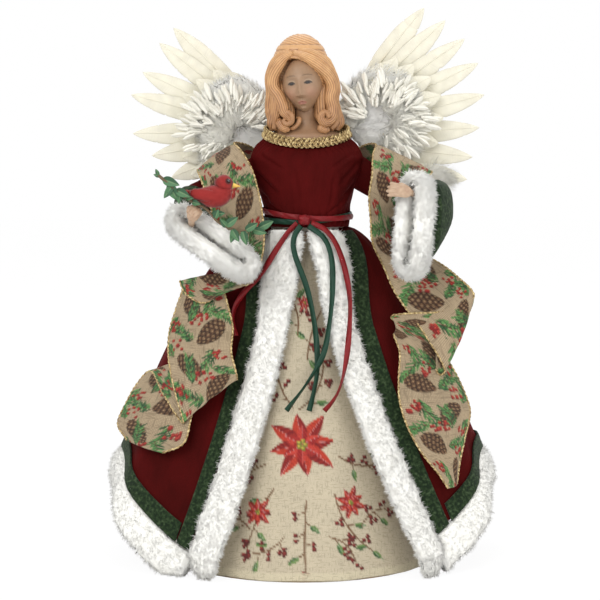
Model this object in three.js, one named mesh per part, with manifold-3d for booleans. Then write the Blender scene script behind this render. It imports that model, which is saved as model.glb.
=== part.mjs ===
// Angel tree topper, about 400 mm tall, in millimetres. +Z is up, the figure faces -Y, and the
// origin lies at the centre of the card cone's bottom rim. Left and right are the viewer's.
import * as THREE from 'three';
import { mergeVertices } from 'three/addons/utils/BufferGeometryUtils.js';
import Module from 'manifold-3d';

const wasm = await Module();
wasm.setup();

// Clearances that every piece shares
const seatGap = 0.35;            // between two pieces that touch
const clothGap = 0.5;            // between two layers of cloth
const trimGap = 0.9;             // between a trim and the curved cloth under it
const overrun = 4;               // how far a cutting shape runs past what it cuts

// Card cone that carries the figure
const coneHeight = 240;
const coneBaseRadius = 100;
const coneTopRadius = 22;
const coneWall = 2;
const coneFacets = 48;

// Linen underskirt
const linenThickness = 1.2;
const linenFoldDepth = 2.2;
const linenFolds = 12;
const linenLift = 1;             // hem above the cone's rim
const linenTopDrop = 6;          // top edge below the cone's top

// Velvet robe, open at the front
const waistRise = 3;             // the robe's waist above the cone's top
const waistHeight = coneHeight + waistRise;
const waistHalfWidth = 33;
const waistHalfDepth = 29;
const hemFrontRoom = 13;         // from the cone's base radius out to the hem, at the front
const hemSideRoom = 32;
const hemBackRoom = -2;          // the hem is lifted at the back, where the cone is narrower
const hemFrontRadius = coneBaseRadius + hemFrontRoom;
const hemSideRadius = coneBaseRadius + hemSideRoom;
const hemBackRadius = coneBaseRadius + hemBackRoom;
const hemFrontHeight = 17;
const hemSideHeight = 78;
const hemBackHeight = 38;
const robeThickness = 1.4;
const robeFoldDepth = 2.6;
const robeFolds = 11;
const openingLeftTop = -37;      // angle of the left front edge at the waist, in degrees from the front
const openingLeftHem = -44;
const openingRightTop = 44;
const openingRightHem = 53;

// Felt bands and fur trim
const feltWidth = 9.5;
const feltThickness = 1.3;
const furFrontTopWidth = 24;
const furFrontHemWidth = 31;
const furFrontThickness = 10;
const furHemWidth = 25;
const furHemThickness = 13;
const furLift = 0.8;             // lowest fur above the floor

// Body form, bodice and neck
const torsoOffset = 3.5;         // the body leans this far to the right of the cone's axis
const torsoSetback = -5;         // centre of the body in depth
const bodiceWall = 1.6;
const coreShoulderInset = 4;     // how much more the body form draws in at the shoulders
const coreNeckInset = 6;         // and at the neck
const coreShoulderDrop = 6;
const plugDepth = 14;            // how deep the body form's plug sits in the cone
const waistSeam = 1;             // between the robe's waist and the bodice
const bodiceHeight = 65;
const bodiceBottom = waistHeight + waistSeam;
const bodiceTop = bodiceBottom + bodiceHeight;
const bodiceHalfWidths = [31, 32, 36, 41, 42.5, 38.5, 30.5];
const bodiceHalfDepths = [25, 26.5, 28, 27, 24, 20, 16];
const bodiceHeightShares = [0, 0.2, 0.44, 0.64, 0.79, 0.91, 1];
const necklineDrop = 8.5;        // how far the neckline dips at the front
const necklineRise = 3;          // and rises at the back
const dowelRadius = 4;
const dowelLength = 38;
const dowelSink = 21;            // how deep the dowel sits in the body form

// Head casting, measured up from the base of its bust plate
const headSink = 7;              // the bust plate sits this far inside the neckline
const headBase = bodiceTop - headSink;
const dowelBottom = headBase - dowelSink;
const neckRadius = 7;
const neckTop = 30;
const bustRise = 14;
const faceHalfWidth = 14.5;
const faceHalfDepth = 17;
const faceHalfHeight = 20;
const faceCentre = [-3, -7, 45];
const hairHalfWidth = 26;
const hairHalfDepth = 22;
const hairHalfHeight = 27;
const hairCentre = [-2.5, 3, 54.5];
const lockRadius = 7;

// Plaited braid on the neckline
const braidWidth = 7.4;
const braidThickness = 3.6;
const braidLobes = 26;
const braidRise = 4.2;           // its centre line above the neckline
const braidStandoff = 0.6;       // and outside it

// Arms
const armReach = 100;            // the length that the places along each arm are shares of
const shoulderDrop = 20;         // the arms' line below the neckline's height
const shoulderForward = 2;       // and behind the body's centre
const feltShare = 0.88;          // share of the sleeve where the velvet stops and the felt starts
const feltSeamShare = 0.006;
const wireLiftShare = 0.9;
const wireRadius = 1.5;
const wireDepth = torsoSetback + dowelRadius + wireRadius + 2 * clothGap;
const sleeveWall = 1.4;
const shoulderRadius = 11;
const elbowEase = 1.5;           // how much the sleeve widens past the shoulder
const forearmEase = 4;
const cuffLong = 33;             // half length of the cuff's flattened loop, to the trim's centre line
const cuffShort = 8.6;
const cuffDepth = 22;
const cuffSquareness = 3.2;      // above 2 the loop's ends are squarer than an oval's
const cuffFurThickness = 10.4;
const sleeveFeltWidth = 8;
const wristRadius = 2.1;
const palmLength = 9;
const palmWidth = 9;
const palmThickness = 5;
const fingerLength = 11;
const fingerRadius = 1.35;

// Waist ribbons
const satinWidth = 4.5;
const satinThickness = 0.8;
const sashRise = 10.5;           // upper sash above the bodice's bottom edge
const sashDip = 2.6;             // how far the sashes dip at the front
const knotWidth = 11;
const knotHeight = 9;
const knotDepth = 6;
const knotOffset = 2;            // the knot lies this far to the left of the body's centre

// Burlap ribbons
const burlapWidth = 50;
const burlapThickness = 0.9;
const burlapBow = 2.5;

// Wings
const wingPlateWidth = 46;
const wingPlateHeight = 36;
const wingPlateThickness = 1.6;
const wingPlateDrop = 11;        // the plate's centre below the neckline's height
const wingPlateGap = 0.7;        // between the bodice and the plate
const wingPlateCentreHeight = bodiceTop - wingPlateDrop;
const wingPlateBack = torsoSetback + bodiceHalfDepths[3] + wingPlateGap;
const channelRadius = 2.9;
const channelBore = 1.6;
const channelLength = 24;
const channelOffset = 12;
const stemRadius = 1.2;
const stemRise = 7;
const frameThickness = 1.4;
const frameLength = 46;
const frameHeight = 44;
const featherThickness = 1.2;
const featherPitch = 0.95;
const featherCount = 7;
const featherWidth = 19;
const wingReach = 136;           // from the pivot outwards, to which the tips' places are shares
const wingRise = 110.5;          // and upwards
const featherCamber = 5;
const padThickness = 7;
const padNestleLeft = 0.1;       // how far each pad settles among the quills
const padNestleRight = 0.55;

// Bird and greenery
const birdLength = 39;
const birdGirth = 8.2;
const birdHeadRadius = 6.6;
const beakLength = 5;
const beakRadius = 1.9;
const eyeRadius = 1.3;
const sprigSpan = 100;           // the length that the twig's and bird's places are shares of
const twigRadius = 1.1;
const leafLength = 13;
const leafWidth = 6.5;
const leafThickness = 1;

const degree = Math.PI / 180;
const point = (x, y, z) => new THREE.Vector3(x, y, z);
const mix = THREE.MathUtils.lerp;
const ease = THREE.MathUtils.smoothstep;

const paint = (color, roughness, metalness = 0) =>
  new THREE.MeshStandardMaterial({ color, roughness, metalness });
const card = paint(0xb89b72, 0.9);
const foam = paint(0xe8e4da, 0.9);
const wood = paint(0xc9a06a, 0.7);
const wire = paint(0x8a8d90, 0.35, 0.9);
const linen = paint(0xd9cfb6, 0.95);
const velvet = paint(0x7d1a22, 0.85);
const felt = paint(0x2c3d2b, 0.95);
const fur = paint(0xf4f2ec, 0.95);
const skin = paint(0xd9a98a, 0.55);
const hair = paint(0xc98a55, 0.5);
const gold = paint(0xb79a55, 0.4, 0.6);
const redSatin = paint(0xa01f2c, 0.4);
const greenSatin = paint(0x2c4a35, 0.4);
const burlap = paint(0xa98d66, 0.95);
const feather = paint(0xf3efdc, 0.8);
const down = paint(0xe4e2dc, 0.95);
const birdRed = paint(0xc0201c, 0.9);
const beakYellow = paint(0xe0b63a, 0.5);
const eyeBlack = paint(0x16110f, 0.2);
const leafGreen = paint(0x3f6b3f, 0.7);

const figure = new THREE.Group();

// A named piece with its own material, added to the figure or to a group inside it
function addPiece(name, geometry, material, home = figure) {
  geometry.computeVertexNormals();
  const piece = new THREE.Mesh(geometry, material);
  piece.name = name;
  home.add(piece);
  return piece;
}

// Volume by the divergence theorem, which is negative where the faces point inwards
function signedVolume(points, faces) {
  let total = 0;
  for (let i = 0; i < faces.length; i += 3) {
    const [a, b, c] = [points[faces[i]], points[faces[i + 1]], points[faces[i + 2]]];
    total += a.dot(b.clone().cross(c));
  }
  return total / 6;
}

// Joins a row of closed rings into one skin. Each ring has an even number of points, first along one
// side and then back along the other, so that an end closes with strips across it.
function loft(rings, joined = false) {
  const sides = rings[0].length;
  const points = rings.flat();
  const faces = [];
  const spans = joined ? rings.length : rings.length - 1;
  for (let i = 0; i < spans; i++) {
    const here = i * sides;
    const next = ((i + 1) % rings.length) * sides;
    for (let j = 0; j < sides; j++) {
      const k = (j + 1) % sides;
      faces.push(here + j, here + k, next + k, here + j, next + k, next + j);
    }
  }
  if (!joined) {
    const last = (rings.length - 1) * sides;
    for (let j = 0; j < sides / 2 - 1; j++) {
      const [a, b, c, d] = [j, j + 1, sides - 2 - j, sides - 1 - j];
      faces.push(a, c, b, a, d, c);
      faces.push(last + a, last + b, last + c, last + a, last + c, last + d);
    }
  }
  if (signedVolume(points, faces) < 0) faces.reverse();
  const geometry = new THREE.BufferGeometry();
  geometry.setAttribute('position', new THREE.Float32BufferAttribute(points.flatMap((p) => p.toArray()), 3));
  geometry.setIndex(faces);
  return geometry;
}

// The way to and from the library that joins and cuts closed solids
function toSolid(geometry) {
  const plain = geometry.clone();
  plain.deleteAttribute('normal');
  plain.deleteAttribute('uv');
  const merged = mergeVertices(plain);
  return new wasm.Manifold(new wasm.Mesh({
    numProp: 3,
    vertProperties: new Float32Array(merged.attributes.position.array),
    triVerts: new Uint32Array(merged.index.array),
  }));
}

function toGeometry(solid) {
  const mesh = solid.getMesh();
  const geometry = new THREE.BufferGeometry();
  geometry.setAttribute('position', new THREE.BufferAttribute(mesh.vertProperties, 3));
  geometry.setIndex(new THREE.BufferAttribute(mesh.triVerts, 1));
  return geometry;
}

const joinAll = (geometries) => toGeometry(geometries.map(toSolid).reduce((sum, next) => sum.add(next)));
const cutFrom = (geometry, cutters) =>
  toGeometry(cutters.map(toSolid).reduce((rest, next) => rest.subtract(next), toSolid(geometry)));

// An oval ring round a centre, spanned by two half axes. power above 2 squares it off.
function oval(centre, halfA, halfB, sides, power = 2) {
  const ring = [];
  for (let j = 0; j < sides; j++) {
    const turn = ((j + 0.5) / sides) * 2 * Math.PI;
    const a = Math.sign(Math.cos(turn)) * Math.abs(Math.cos(turn)) ** (2 / power);
    const b = Math.sign(Math.sin(turn)) * Math.abs(Math.sin(turn)) ** (2 / power);
    ring.push(centre.clone().addScaledVector(halfA, a).addScaledVector(halfB, b));
  }
  return ring;
}

// A round bar along a curve, with a radius for each share of its length
function bar(curve, steps, sides, radiusAt) {
  const frames = curve.computeFrenetFrames(steps);
  const rings = [];
  for (let i = 0; i <= steps; i++) {
    const radius = radiusAt(i / steps);
    const side = frames.normals[i].clone().multiplyScalar(radius);
    const rise = frames.binormals[i].clone().multiplyScalar(radius);
    rings.push(oval(curve.getPointAt(i / steps), side, rise, sides));
  }
  return loft(rings);
}

function ball(centre, halfX, halfY, halfZ, columns = 12, rows = 8) {
  const geometry = new THREE.SphereGeometry(1, columns, rows);
  geometry.scale(halfX, halfY, halfZ);
  geometry.translate(centre[0], centre[1], centre[2]);
  return geometry;
}

// A point round the figure's axis: the angle runs from the front towards the right
const around = (angle, radius, z) =>
  point(radius * Math.sin(angle * degree), -radius * Math.cos(angle * degree), z);
const outward = (angle) => around(angle, 1, 0);
const sideways = (angle) => point(Math.cos(angle * degree), Math.sin(angle * degree), 0);

// Card cone, open at both ends
const coneRadiusAt = (z) => mix(coneBaseRadius, coneTopRadius, z / coneHeight);
const coneProfile = [
  new THREE.Vector2(coneBaseRadius, 0),
  new THREE.Vector2(coneTopRadius, coneHeight),
  new THREE.Vector2(coneTopRadius - coneWall, coneHeight),
  new THREE.Vector2(coneBaseRadius - coneWall, 0),
  new THREE.Vector2(coneBaseRadius, 0),
];
const coneShell = new THREE.LatheGeometry(coneProfile, coneFacets);
coneShell.rotateX(Math.PI / 2);
addPiece('support_cone', cutFrom(coneShell, []), card);

// Linen underskirt: a lofted shell that follows the cone, with soft folds that deepen to the hem
const linenTop = coneHeight - linenTopDrop;
function linenRadius(angle, z) {
  const fall = (linenTop - z) / linenTop;
  const fold = linenFoldDepth * fall * (0.5 - 0.5 * Math.cos(linenFolds * angle * degree));
  return coneRadiusAt(z) + clothGap + fold;
}
const linenRings = [];
const linenColumns = 4 * linenFolds;
for (let i = 0; i < linenColumns; i++) {
  const angle = (i / linenColumns) * 360;
  const levels = [linenTop, mix(linenTop, linenLift, 0.5), linenLift];
  const outer = levels.map((z) => around(angle, linenRadius(angle, z) + linenThickness, z));
  const inner = levels.map((z) => around(angle, linenRadius(angle, z), z)).reverse();
  linenRings.push([...outer, ...inner]);
}
addPiece('underskirt', loft(linenRings, true), linen);

// The robe's surface: its radius at any angle and height. It bulges at the hips, and the hem is
// lifted at both sides.
const hemRadius = (angle) => {
  const turn = Math.abs(angle);
  return hemFrontRadius + (hemSideRadius - hemFrontRadius) * ease(turn, 40, 75)
    + (hemBackRadius - hemSideRadius) * ease(turn, 105, 165);
};
const hemHeight = (angle) => {
  const turn = Math.abs(angle);
  return hemFrontHeight + (hemSideHeight - hemFrontHeight) * ease(turn, 38, 92)
    + (hemBackHeight - hemSideHeight) * ease(turn, 98, 160);
};
const waistRadius = (angle) => 1 / Math.hypot(
  Math.sin(angle * degree) / waistHalfWidth,
  Math.cos(angle * degree) / waistHalfDepth,
);
const flare = (angle) => {
  const turn = Math.abs(angle);
  return 1.25 - 0.6 * ease(turn, 42, 88) + 0.35 * ease(turn, 100, 150);
};
function robeRadius(angle, z) {
  const fall = Math.max(0, (waistHeight - z) / (waistHeight - hemHeight(angle)));
  const waist = waistRadius(angle);
  const away = ease(Math.abs(angle), 55, 80);
  const fold = robeFoldDepth * away * Math.min(1, fall) * Math.cos(robeFolds * angle * degree);
  return waist + (hemRadius(angle) - waist) * fall ** flare(angle) + fold;
}
const robeOuter = (angle, z) => robeRadius(angle, z) + robeThickness / 2;

// Front edges of the robe, as angles at each height
const openingAt = (side, z) => {
  const fall = THREE.MathUtils.clamp((waistHeight - z) / (waistHeight - hemFrontHeight), 0, 1);
  return side < 0 ? mix(openingLeftTop, openingLeftHem, fall) : mix(openingRightTop, openingRightHem, fall);
};
const widthToAngle = (width, radius) => width / radius / degree;

// A panel of cloth between two angles, from a top share to a bottom share of the robe's fall
function panel(angleAt, columns, fallShares, radiusAt, thickness) {
  const rings = [];
  for (let i = 0; i <= columns; i++) {
    const outer = [];
    const inner = [];
    for (const share of fallShares) {
      const angle = angleAt(i / columns, share);
      const z = mix(waistHeight, hemHeight(angle), share);
      outer.push(around(angle, radiusAt(angle, z) + thickness, z));
      inner.push(around(angle, radiusAt(angle, z), z));
    }
    rings.push([...outer, ...inner.reverse()]);
  }
  return loft(rings);
}

const edgeHeight = (side, share) => mix(waistHeight, hemHeight(openingAt(side, hemFrontHeight)), share);
const robeShares = [0, 0.1, 0.26, 0.48, 0.74, 1];
const robeColumns = 48;
const robeAngle = (along, share) => {
  const right = openingAt(1, edgeHeight(1, share));
  const left = openingAt(-1, edgeHeight(-1, share)) + 360;
  const angle = mix(right, left, along);
  return angle > 180 ? angle - 360 : angle;
};
const robeInner = (angle, z) => robeRadius(angle, z) - robeThickness / 2;
addPiece('robe', panel(robeAngle, robeColumns, robeShares, robeInner, robeThickness), velvet);

// Green felt bands, laid on the robe beside its front edges and above its hem
const feltInner = (angle, z) => robeOuter(angle, z) + trimGap;
for (const side of [-1, 1]) {
  const band = (along, share) => {
    const z = edgeHeight(side, share);
    const start = openingAt(side, z);
    return start + side * widthToAngle(feltWidth, robeRadius(start, z)) * along;
  };
  const name = side < 0 ? 'felt_front_left' : 'felt_front_right';
  addPiece(name, panel(band, 2, [0.06, 0.2, 0.36, 0.54, 0.72, 0.88, 1], feltInner, feltThickness), felt);
}
const hemStart = (side) => {
  const edge = openingAt(side, hemFrontHeight);
  return edge + side * widthToAngle(feltWidth + 2 * clothGap, hemFrontRadius);
};
const hemColumns = 44;
const hemBand = (along) => {
  const angle = mix(hemStart(1), hemStart(-1) + 360, along);
  return angle > 180 ? angle - 360 : angle;
};
const feltHemTopShare = 1 - feltWidth / (waistHeight - hemSideHeight);
addPiece('felt_hem', panel(hemBand, hemColumns, [feltHemTopShare, 1], feltInner, feltThickness), felt);

// White fur rolls down both front edges. Each lies beside the robe's edge, over the linen.
const furFrontWidth = (z) => mix(furFrontHemWidth, furFrontTopWidth, z / waistHeight);
const linenFront = (z) => coneRadiusAt(Math.max(z, 0)) + clothGap + linenFoldDepth + linenThickness;
function furFrontPlace(side, z) {
  const half = furFrontWidth(z) / 2;
  const edge = openingAt(side, z);
  const seat = linenFront(z) + furFrontThickness / 2 + seatGap;
  const radius = Math.max(robeRadius(edge, Math.max(z, hemFrontHeight)) + furFrontThickness / 4, seat);
  return { half, radius, angle: edge - side * widthToAngle(half + clothGap, radius) };
}
const furFrontShares = [0, 0.03, 0.12, 0.25, 0.4, 0.55, 0.7, 0.84, 0.95, 1];
const furEndShares = [0.7, 0.9, 1, 1, 1, 1, 1, 1, 0.92, 0.6];
const furTop = waistHeight - clothGap;
for (const side of [-1, 1]) {
  const rings = furFrontShares.map((share, i) => {
    const z = mix(furTop, furLift, share);
    const { half, radius, angle } = furFrontPlace(side, z);
    const across = sideways(angle).multiplyScalar(half * furEndShares[i]);
    const thick = outward(angle).multiplyScalar((furFrontThickness / 2) * furEndShares[i]);
    return oval(around(angle, radius, z), across, thick, 10);
  });
  addPiece(side < 0 ? 'fur_front_left' : 'fur_front_right', loft(rings), fur);
}

// White fur roll round the hem, hung below the edges of the robe and the felt
const furHemRings = [];
const furSides = 6;
const furFlatShare = 1 / Math.cos(Math.PI / furSides);   // puts the ring's flat side at its full height
const furLeanShare = 0.3;
const furHemStart = (side) => openingAt(side, hemFrontHeight) - side * widthToAngle(clothGap, hemFrontRadius);
for (let i = 0; i <= hemColumns; i++) {
  const along = i / hemColumns;
  const raw = mix(furHemStart(1), furHemStart(-1) + 360, along);
  const angle = raw > 180 ? raw - 360 : raw;
  const endShare = i === 0 || i === hemColumns ? 0.85 : 1;
  const top = hemHeight(angle) - trimGap;
  const room = Math.min(furHemWidth, top - furLift);
  const leaning = point(0, 0, 1).addScaledVector(outward(angle), -furLeanShare);
  const rise = leaning.multiplyScalar((room / 2) * furFlatShare);
  const thick = outward(angle).multiplyScalar((furHemThickness / 2) * endShare);
  const radius = robeRadius(angle, hemHeight(angle)) + furLeanShare * room / 2 + robeThickness;
  furHemRings.push(oval(around(angle, radius, top - room / 2), rise, thick, furSides));
}
addPiece('fur_hem', loft(furHemRings), fur);

// The bodice's sections, from the waist to the neckline, and shells and solids made from them
const bodiceColumns = 24;
function bodiceRing(level, inset, raise = 0) {
  const halfWidth = bodiceHalfWidths[level] - inset;
  const halfDepth = bodiceHalfDepths[level] - inset;
  const ring = [];
  for (let i = 0; i < bodiceColumns; i++) {
    const turn = ((i + 0.5) / bodiceColumns) * 2 * Math.PI;
    const back = Math.sin(turn);
    const slant = back * (necklineRise + necklineDrop) / 2 - back * back * (necklineDrop - necklineRise) / 2;
    const share = bodiceHeightShares[level];
    const z = mix(bodiceBottom, bodiceTop, share) + slant * share ** 4 + raise;
    ring.push(point(torsoOffset + halfWidth * Math.cos(turn), torsoSetback + halfDepth * back, z));
  }
  return ring;
}
const levels = bodiceHeightShares.map((_, i) => i);
const bodiceSolid = (inset) => loft(levels.map((level) => bodiceRing(level, inset)));
const bodiceShell = () => {
  const outer = levels.map((level) => bodiceRing(level, 0));
  const inner = levels.map((level) => bodiceRing(level, bodiceWall));
  const rings = [];
  for (let i = 0; i < bodiceColumns; i++) {
    rings.push([...outer.map((ring) => ring[i]), ...inner.map((ring) => ring[i]).reverse()]);
  }
  return loft(rings, true);
};

// Places along each arm, as shares of its reach from the shoulders' middle, with the directions of
// the cuff, the sleeve's upper side and the palm
const armShares = {
  left: {
    side: -1,
    cuffCentre: [-0.665, -0.6, -0.54],
    cuffAlong: [0.05, -0.93, 0.36],
    cuffUp: [-0.8, 0.17, 0.57],
    stations: [[-0.275, 0, 0], [-0.605, 0.03, -0.13], [-0.835, -0.15, -0.32]],
    ups: [[0, 0, 1], [0.25, 0, 0.97], [0, 0, 1]],
    handShare: 0.57,
    wristShowShare: 1,
    handAim: [0.6, -0.2, 0.85],
    handCurl: 105,
    handSpread: 0,
  },
  right: {
    side: 1,
    cuffCentre: [0.755, -0.55, -0.42],
    cuffAlong: [-0.45, -0.88, 0.15],
    cuffUp: [0.08, 0.13, 0.99],
    stations: [[0.265, 0, 0], [0.625, 0.05, -0.12], [0.935, -0.1, -0.28]],
    ups: [[0, 0, 1], [-0.25, 0, 0.97], [-0.1, 0, 0.99]],
    handShare: 0.66,
    wristShowShare: 0.29,
    handAim: [-0.97, -0.16, 0.18],
    handCurl: 22,
    handSpread: 0.8,
  },
};
const vector = (values) => point(...values);
const shoulder = point(torsoOffset, torsoSetback + shoulderForward, bodiceTop - shoulderDrop);
const armPlace = (shares) => shoulder.clone().addScaledVector(vector(shares), armReach);
const elbowRadius = shoulderRadius + elbowEase;
const sleeveHalfLengths = [shoulderRadius, elbowRadius, shoulderRadius + forearmEase, cuffLong];
const sleeveHalfWidths = [shoulderRadius, elbowRadius, shoulderRadius, cuffShort];

// The cuff's own axes: along the arm, up the flattened loop, and across it
function cuffFrame(arm) {
  const along = vector(arm.cuffAlong).normalize();
  const up = vector(arm.cuffUp).normalize();
  const across = along.clone().cross(up).normalize();
  const centre = armPlace(arm.cuffCentre);
  const wrist = centre.clone().addScaledVector(up, cuffLong * arm.handShare);
  return { along, up, across, centre, wrist };
}

// The sleeve's section at a share of its length: its centre and its two half axes
function sleeveFrame(arm, share) {
  const { along, up, centre } = cuffFrame(arm);
  const end = centre.addScaledVector(along, -cuffDepth / 2 - clothGap);
  const centres = new THREE.CatmullRomCurve3([...arm.stations.map(armPlace), end], false, 'centripetal');
  const uppers = [...arm.ups.map(vector), up];
  const lengths = uppers.map((v, i) => v.normalize().multiplyScalar(sleeveHalfLengths[i]));
  const widths = new THREE.SplineCurve(sleeveHalfWidths.map((w, i) => new THREE.Vector2(i, w)));
  const rise = new THREE.CatmullRomCurve3(lengths, false, 'centripetal').getPoint(share);
  const heading = centres.getTangent(share).lerp(along, ease(share, 0.6, 1));
  const side = heading.cross(rise).setLength(widths.getPoint(share).y);
  return { middle: centres.getPoint(share), rise, side };
}

// One stiff wire runs from hand to hand through the body form and both sleeves
function wireBends(arm) {
  const { along, wrist } = cuffFrame(arm);
  const inside = [0.33, 0.6, 0.8].map((share) => {
    const { middle, rise } = sleeveFrame(arm, share);
    return middle.addScaledVector(rise, wireLiftShare * arm.handShare * ease(share, 0.3, 1));
  });
  const last = [0.25, 0.1, 0].map((before) =>
    wrist.clone().addScaledVector(along, -cuffDepth * (before + 1 / 2) - 2 * seatGap));
  return [...inside, ...last];
}
const wireRoute = new THREE.CatmullRomCurve3([
  ...wireBends(armShares.left).reverse(),
  point(torsoOffset - bodiceHalfWidths[0], wireDepth, shoulder.z),
  point(torsoOffset + bodiceHalfWidths[0], wireDepth, shoulder.z),
  ...wireBends(armShares.right),
], false, 'centripetal');
const armWire = (radius) => bar(wireRoute, 28, 6, () => radius);
addPiece('arm_wire', armWire(wireRadius), wire);

const armHole = (arm, radius) => bar(
  new THREE.LineCurve3(
    point(torsoOffset, wireDepth, shoulder.z),
    point(torsoOffset + arm.side * bodiceHalfWidths[4] * 1.4, wireDepth, shoulder.z),
  ),
  1, 12, () => radius,
);
const armHoleRadius = shoulderRadius / 2;
const openBodice = cutFrom(bodiceShell(), [
  armHole(armShares.left, armHoleRadius),
  armHole(armShares.right, armHoleRadius),
]);
addPiece('bodice', openBodice, velvet);

// Moulded body form: a plug that sits in the cone, and a torso inside the bodice
const coreInset = bodiceWall + 3 * clothGap;
const plugRadius = coneTopRadius - coneWall - seatGap;
const coreBottom = waistHeight + clothGap;
const flat = (ring, z) => ring.map((p) => point(p.x, p.y, z));
const plugRing = (z) => oval(point(0, 0, z), point(plugRadius, 0, 0), point(0, plugRadius, 0), bodiceColumns);
const coreTop = headBase - seatGap;
const coreRings = [
  plugRing(coneHeight - plugDepth),
  plugRing(coneHeight + seatGap),
  flat(bodiceRing(0, coreInset), coreBottom),
  ...[1, 2, 3].map((level) => flat(bodiceRing(level, coreInset), bodiceRing(level, 0)[0].z)),
  flat(bodiceRing(5, coreInset + coreShoulderInset), headBase - coreShoulderDrop),
  flat(bodiceRing(6, coreInset + coreNeckInset), coreTop),
];
const dowelBar = (radius, from, to) => bar(
  new THREE.LineCurve3(point(torsoOffset, torsoSetback, from), point(torsoOffset, torsoSetback, to)),
  1, 12, () => radius,
);
const dowelTop = dowelBottom + dowelLength;
const core = cutFrom(loft(coreRings), [
  armWire(wireRadius + seatGap),
  dowelBar(dowelRadius + seatGap, dowelBottom - seatGap, dowelTop),
]);
addPiece('torso_core', core, foam);
const dowelBottomCut = dowelBar(dowelRadius, dowelBottom, dowelTop);
addPiece('neck_dowel', dowelBottomCut, wood);

// Sleeves: lofted velvet tubes that start round at the shoulder and end as a flattened loop
function sleeveRings(arm, inset, fromShare, toShare, steps) {
  const rings = [];
  for (let i = 0; i <= steps; i++) {
    const share = mix(fromShare, toShare, i / steps);
    const { middle, rise, side } = sleeveFrame(arm, share);
    rise.setLength(rise.length() - inset);
    side.setLength(side.length() - inset);
    rings.push(oval(middle, rise, side, 16, mix(2, 3, share)));
  }
  return rings;
}
function tubeShell(outer, inner) {
  const rings = [];
  for (let j = 0; j < outer[0].length; j++) {
    rings.push([...outer.map((ring) => ring[j]), ...inner.map((ring) => ring[j]).reverse()]);
  }
  return loft(rings, true);
}
for (const [name, arm] of Object.entries(armShares)) {
  const shell = (from, to, steps) =>
    tubeShell(sleeveRings(arm, 0, from, to, steps), sleeveRings(arm, sleeveWall, from, to, steps));
  const velvetTube = cutFrom(shell(0, feltShare, 6), [bodiceSolid(-clothGap)]);
  addPiece(`sleeve_${name}`, velvetTube, velvet);
  addPiece(`sleeve_felt_${name}`, shell(feltShare + feltSeamShare, 1, 2), felt);
}

// Fur cuffs: a deep roll round the flattened loop
for (const [name, arm] of Object.entries(armShares)) {
  const { along, up, across, centre } = cuffFrame(arm);
  const rings = [];
  const columns = 24;
  const halfLong = up.clone().multiplyScalar(cuffLong);
  const halfShort = across.clone().multiplyScalar(cuffShort);
  const loop = oval(centre, halfLong, halfShort, columns, cuffSquareness);
  for (let i = 0; i < columns; i++) {
    const tangent = loop[(i + 1) % columns].clone().sub(loop[(i + columns - 1) % columns]).normalize();
    const outwards = tangent.cross(along).normalize();
    const thick = outwards.multiplyScalar(cuffFurThickness / 2);
    rings.push(oval(loop[i], along.clone().multiplyScalar(furFlatShare * cuffDepth / 2), thick, furSides));
  }
  addPiece(`fur_cuff_${name}`, loft(rings, true), fur);
}

// Hands: a wrist stem, a palm, four fingers and a thumb in one casting. X runs along the arm and Z
// along the palm's width. The palm turns towards aim, and curl bends the fingers.
function handCasting({ wristShowShare, handCurl, handSpread }, aim) {
  const wristLength = cuffDepth + wristShowShare * palmLength;
  const solids = [ball([palmLength * 0.4, 0, 0], palmLength * 0.66, palmThickness / 2, palmWidth / 2, 8, 6)];
  for (let i = 0; i < 4; i++) {
    const lift = (i - 1.5) * palmWidth / 4.2;
    const length = fingerLength * (1 - 0.12 * Math.abs(i - 1.3));
    const bends = [0, 0.35, 0.7, 1].map((share) => {
      const reach = length * share;
      const bend = handCurl * share * degree;
      return point(
        palmLength * 0.6 + reach * Math.cos(bend),
        -reach * Math.sin(bend),
        lift + handSpread * reach * (i - 1.5) / 10,
      );
    });
    solids.push(bar(new THREE.CatmullRomCurve3(bends), 3, 5, (share) => fingerRadius * (1 - 0.25 * share)));
  }
  const thumbRoot = point(palmLength * 0.1, 0, palmWidth * 0.3);
  const thumbTip = point(palmLength * 0.75, -palmThickness * 0.9, palmWidth * 0.62);
  solids.push(bar(new THREE.LineCurve3(thumbRoot, thumbTip), 2, 6, () => fingerRadius));
  const turn = new THREE.Quaternion().setFromUnitVectors(point(1, 0, 0), aim);
  for (const solid of solids) {
    solid.applyQuaternion(turn);
    solid.translate(wristLength, 0, 0);
  }
  const stemLine = new THREE.LineCurve3(point(0, 0, 0), point(wristLength + wristRadius, 0, 0));
  const stem = bar(stemLine, 1, 8, () => wristRadius);
  return joinAll([stem, ...solids]);
}
for (const [name, arm] of Object.entries(armShares)) {
  const { along, up, across, wrist } = cuffFrame(arm);
  const home = new THREE.Group();
  home.position.copy(wrist.clone().addScaledVector(along, -cuffDepth / 2));
  home.setRotationFromMatrix(new THREE.Matrix4().makeBasis(along, across.clone().negate(), up));
  figure.add(home);
  const aim = vector(arm.handAim).normalize().applyQuaternion(home.quaternion.clone().invert());
  addPiece(`hand_${name}`, handCasting(arm, aim), skin, home);
}

// Head casting: bust plate, neck, face, swept hair and long locks, joined as one
const headHome = new THREE.Group();
headHome.position.set(torsoOffset, torsoSetback, headBase);
figure.add(headHome);
const bustHalfWidth = bodiceHalfWidths[6] - coreInset;
const bustHalfDepth = bodiceHalfDepths[6] - coreInset;
const bustRings = [[0, 0.86], [0.3, 0.92], [0.6, 0.7], [0.85, 0.4], [1, 0.26]].map(([rise, size]) => oval(
  point(0, 0, bustRise * rise),
  point(bustHalfWidth * size, 0, 0),
  point(0, bustHalfDepth * size * mix(1, 1.6, rise), 0), 16));
const neckCurve = new THREE.LineCurve3(
  point(0, neckRadius * 0.14, bustRise * 0.4), point(faceCentre[0] * 0.4, 0, neckTop));
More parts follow.
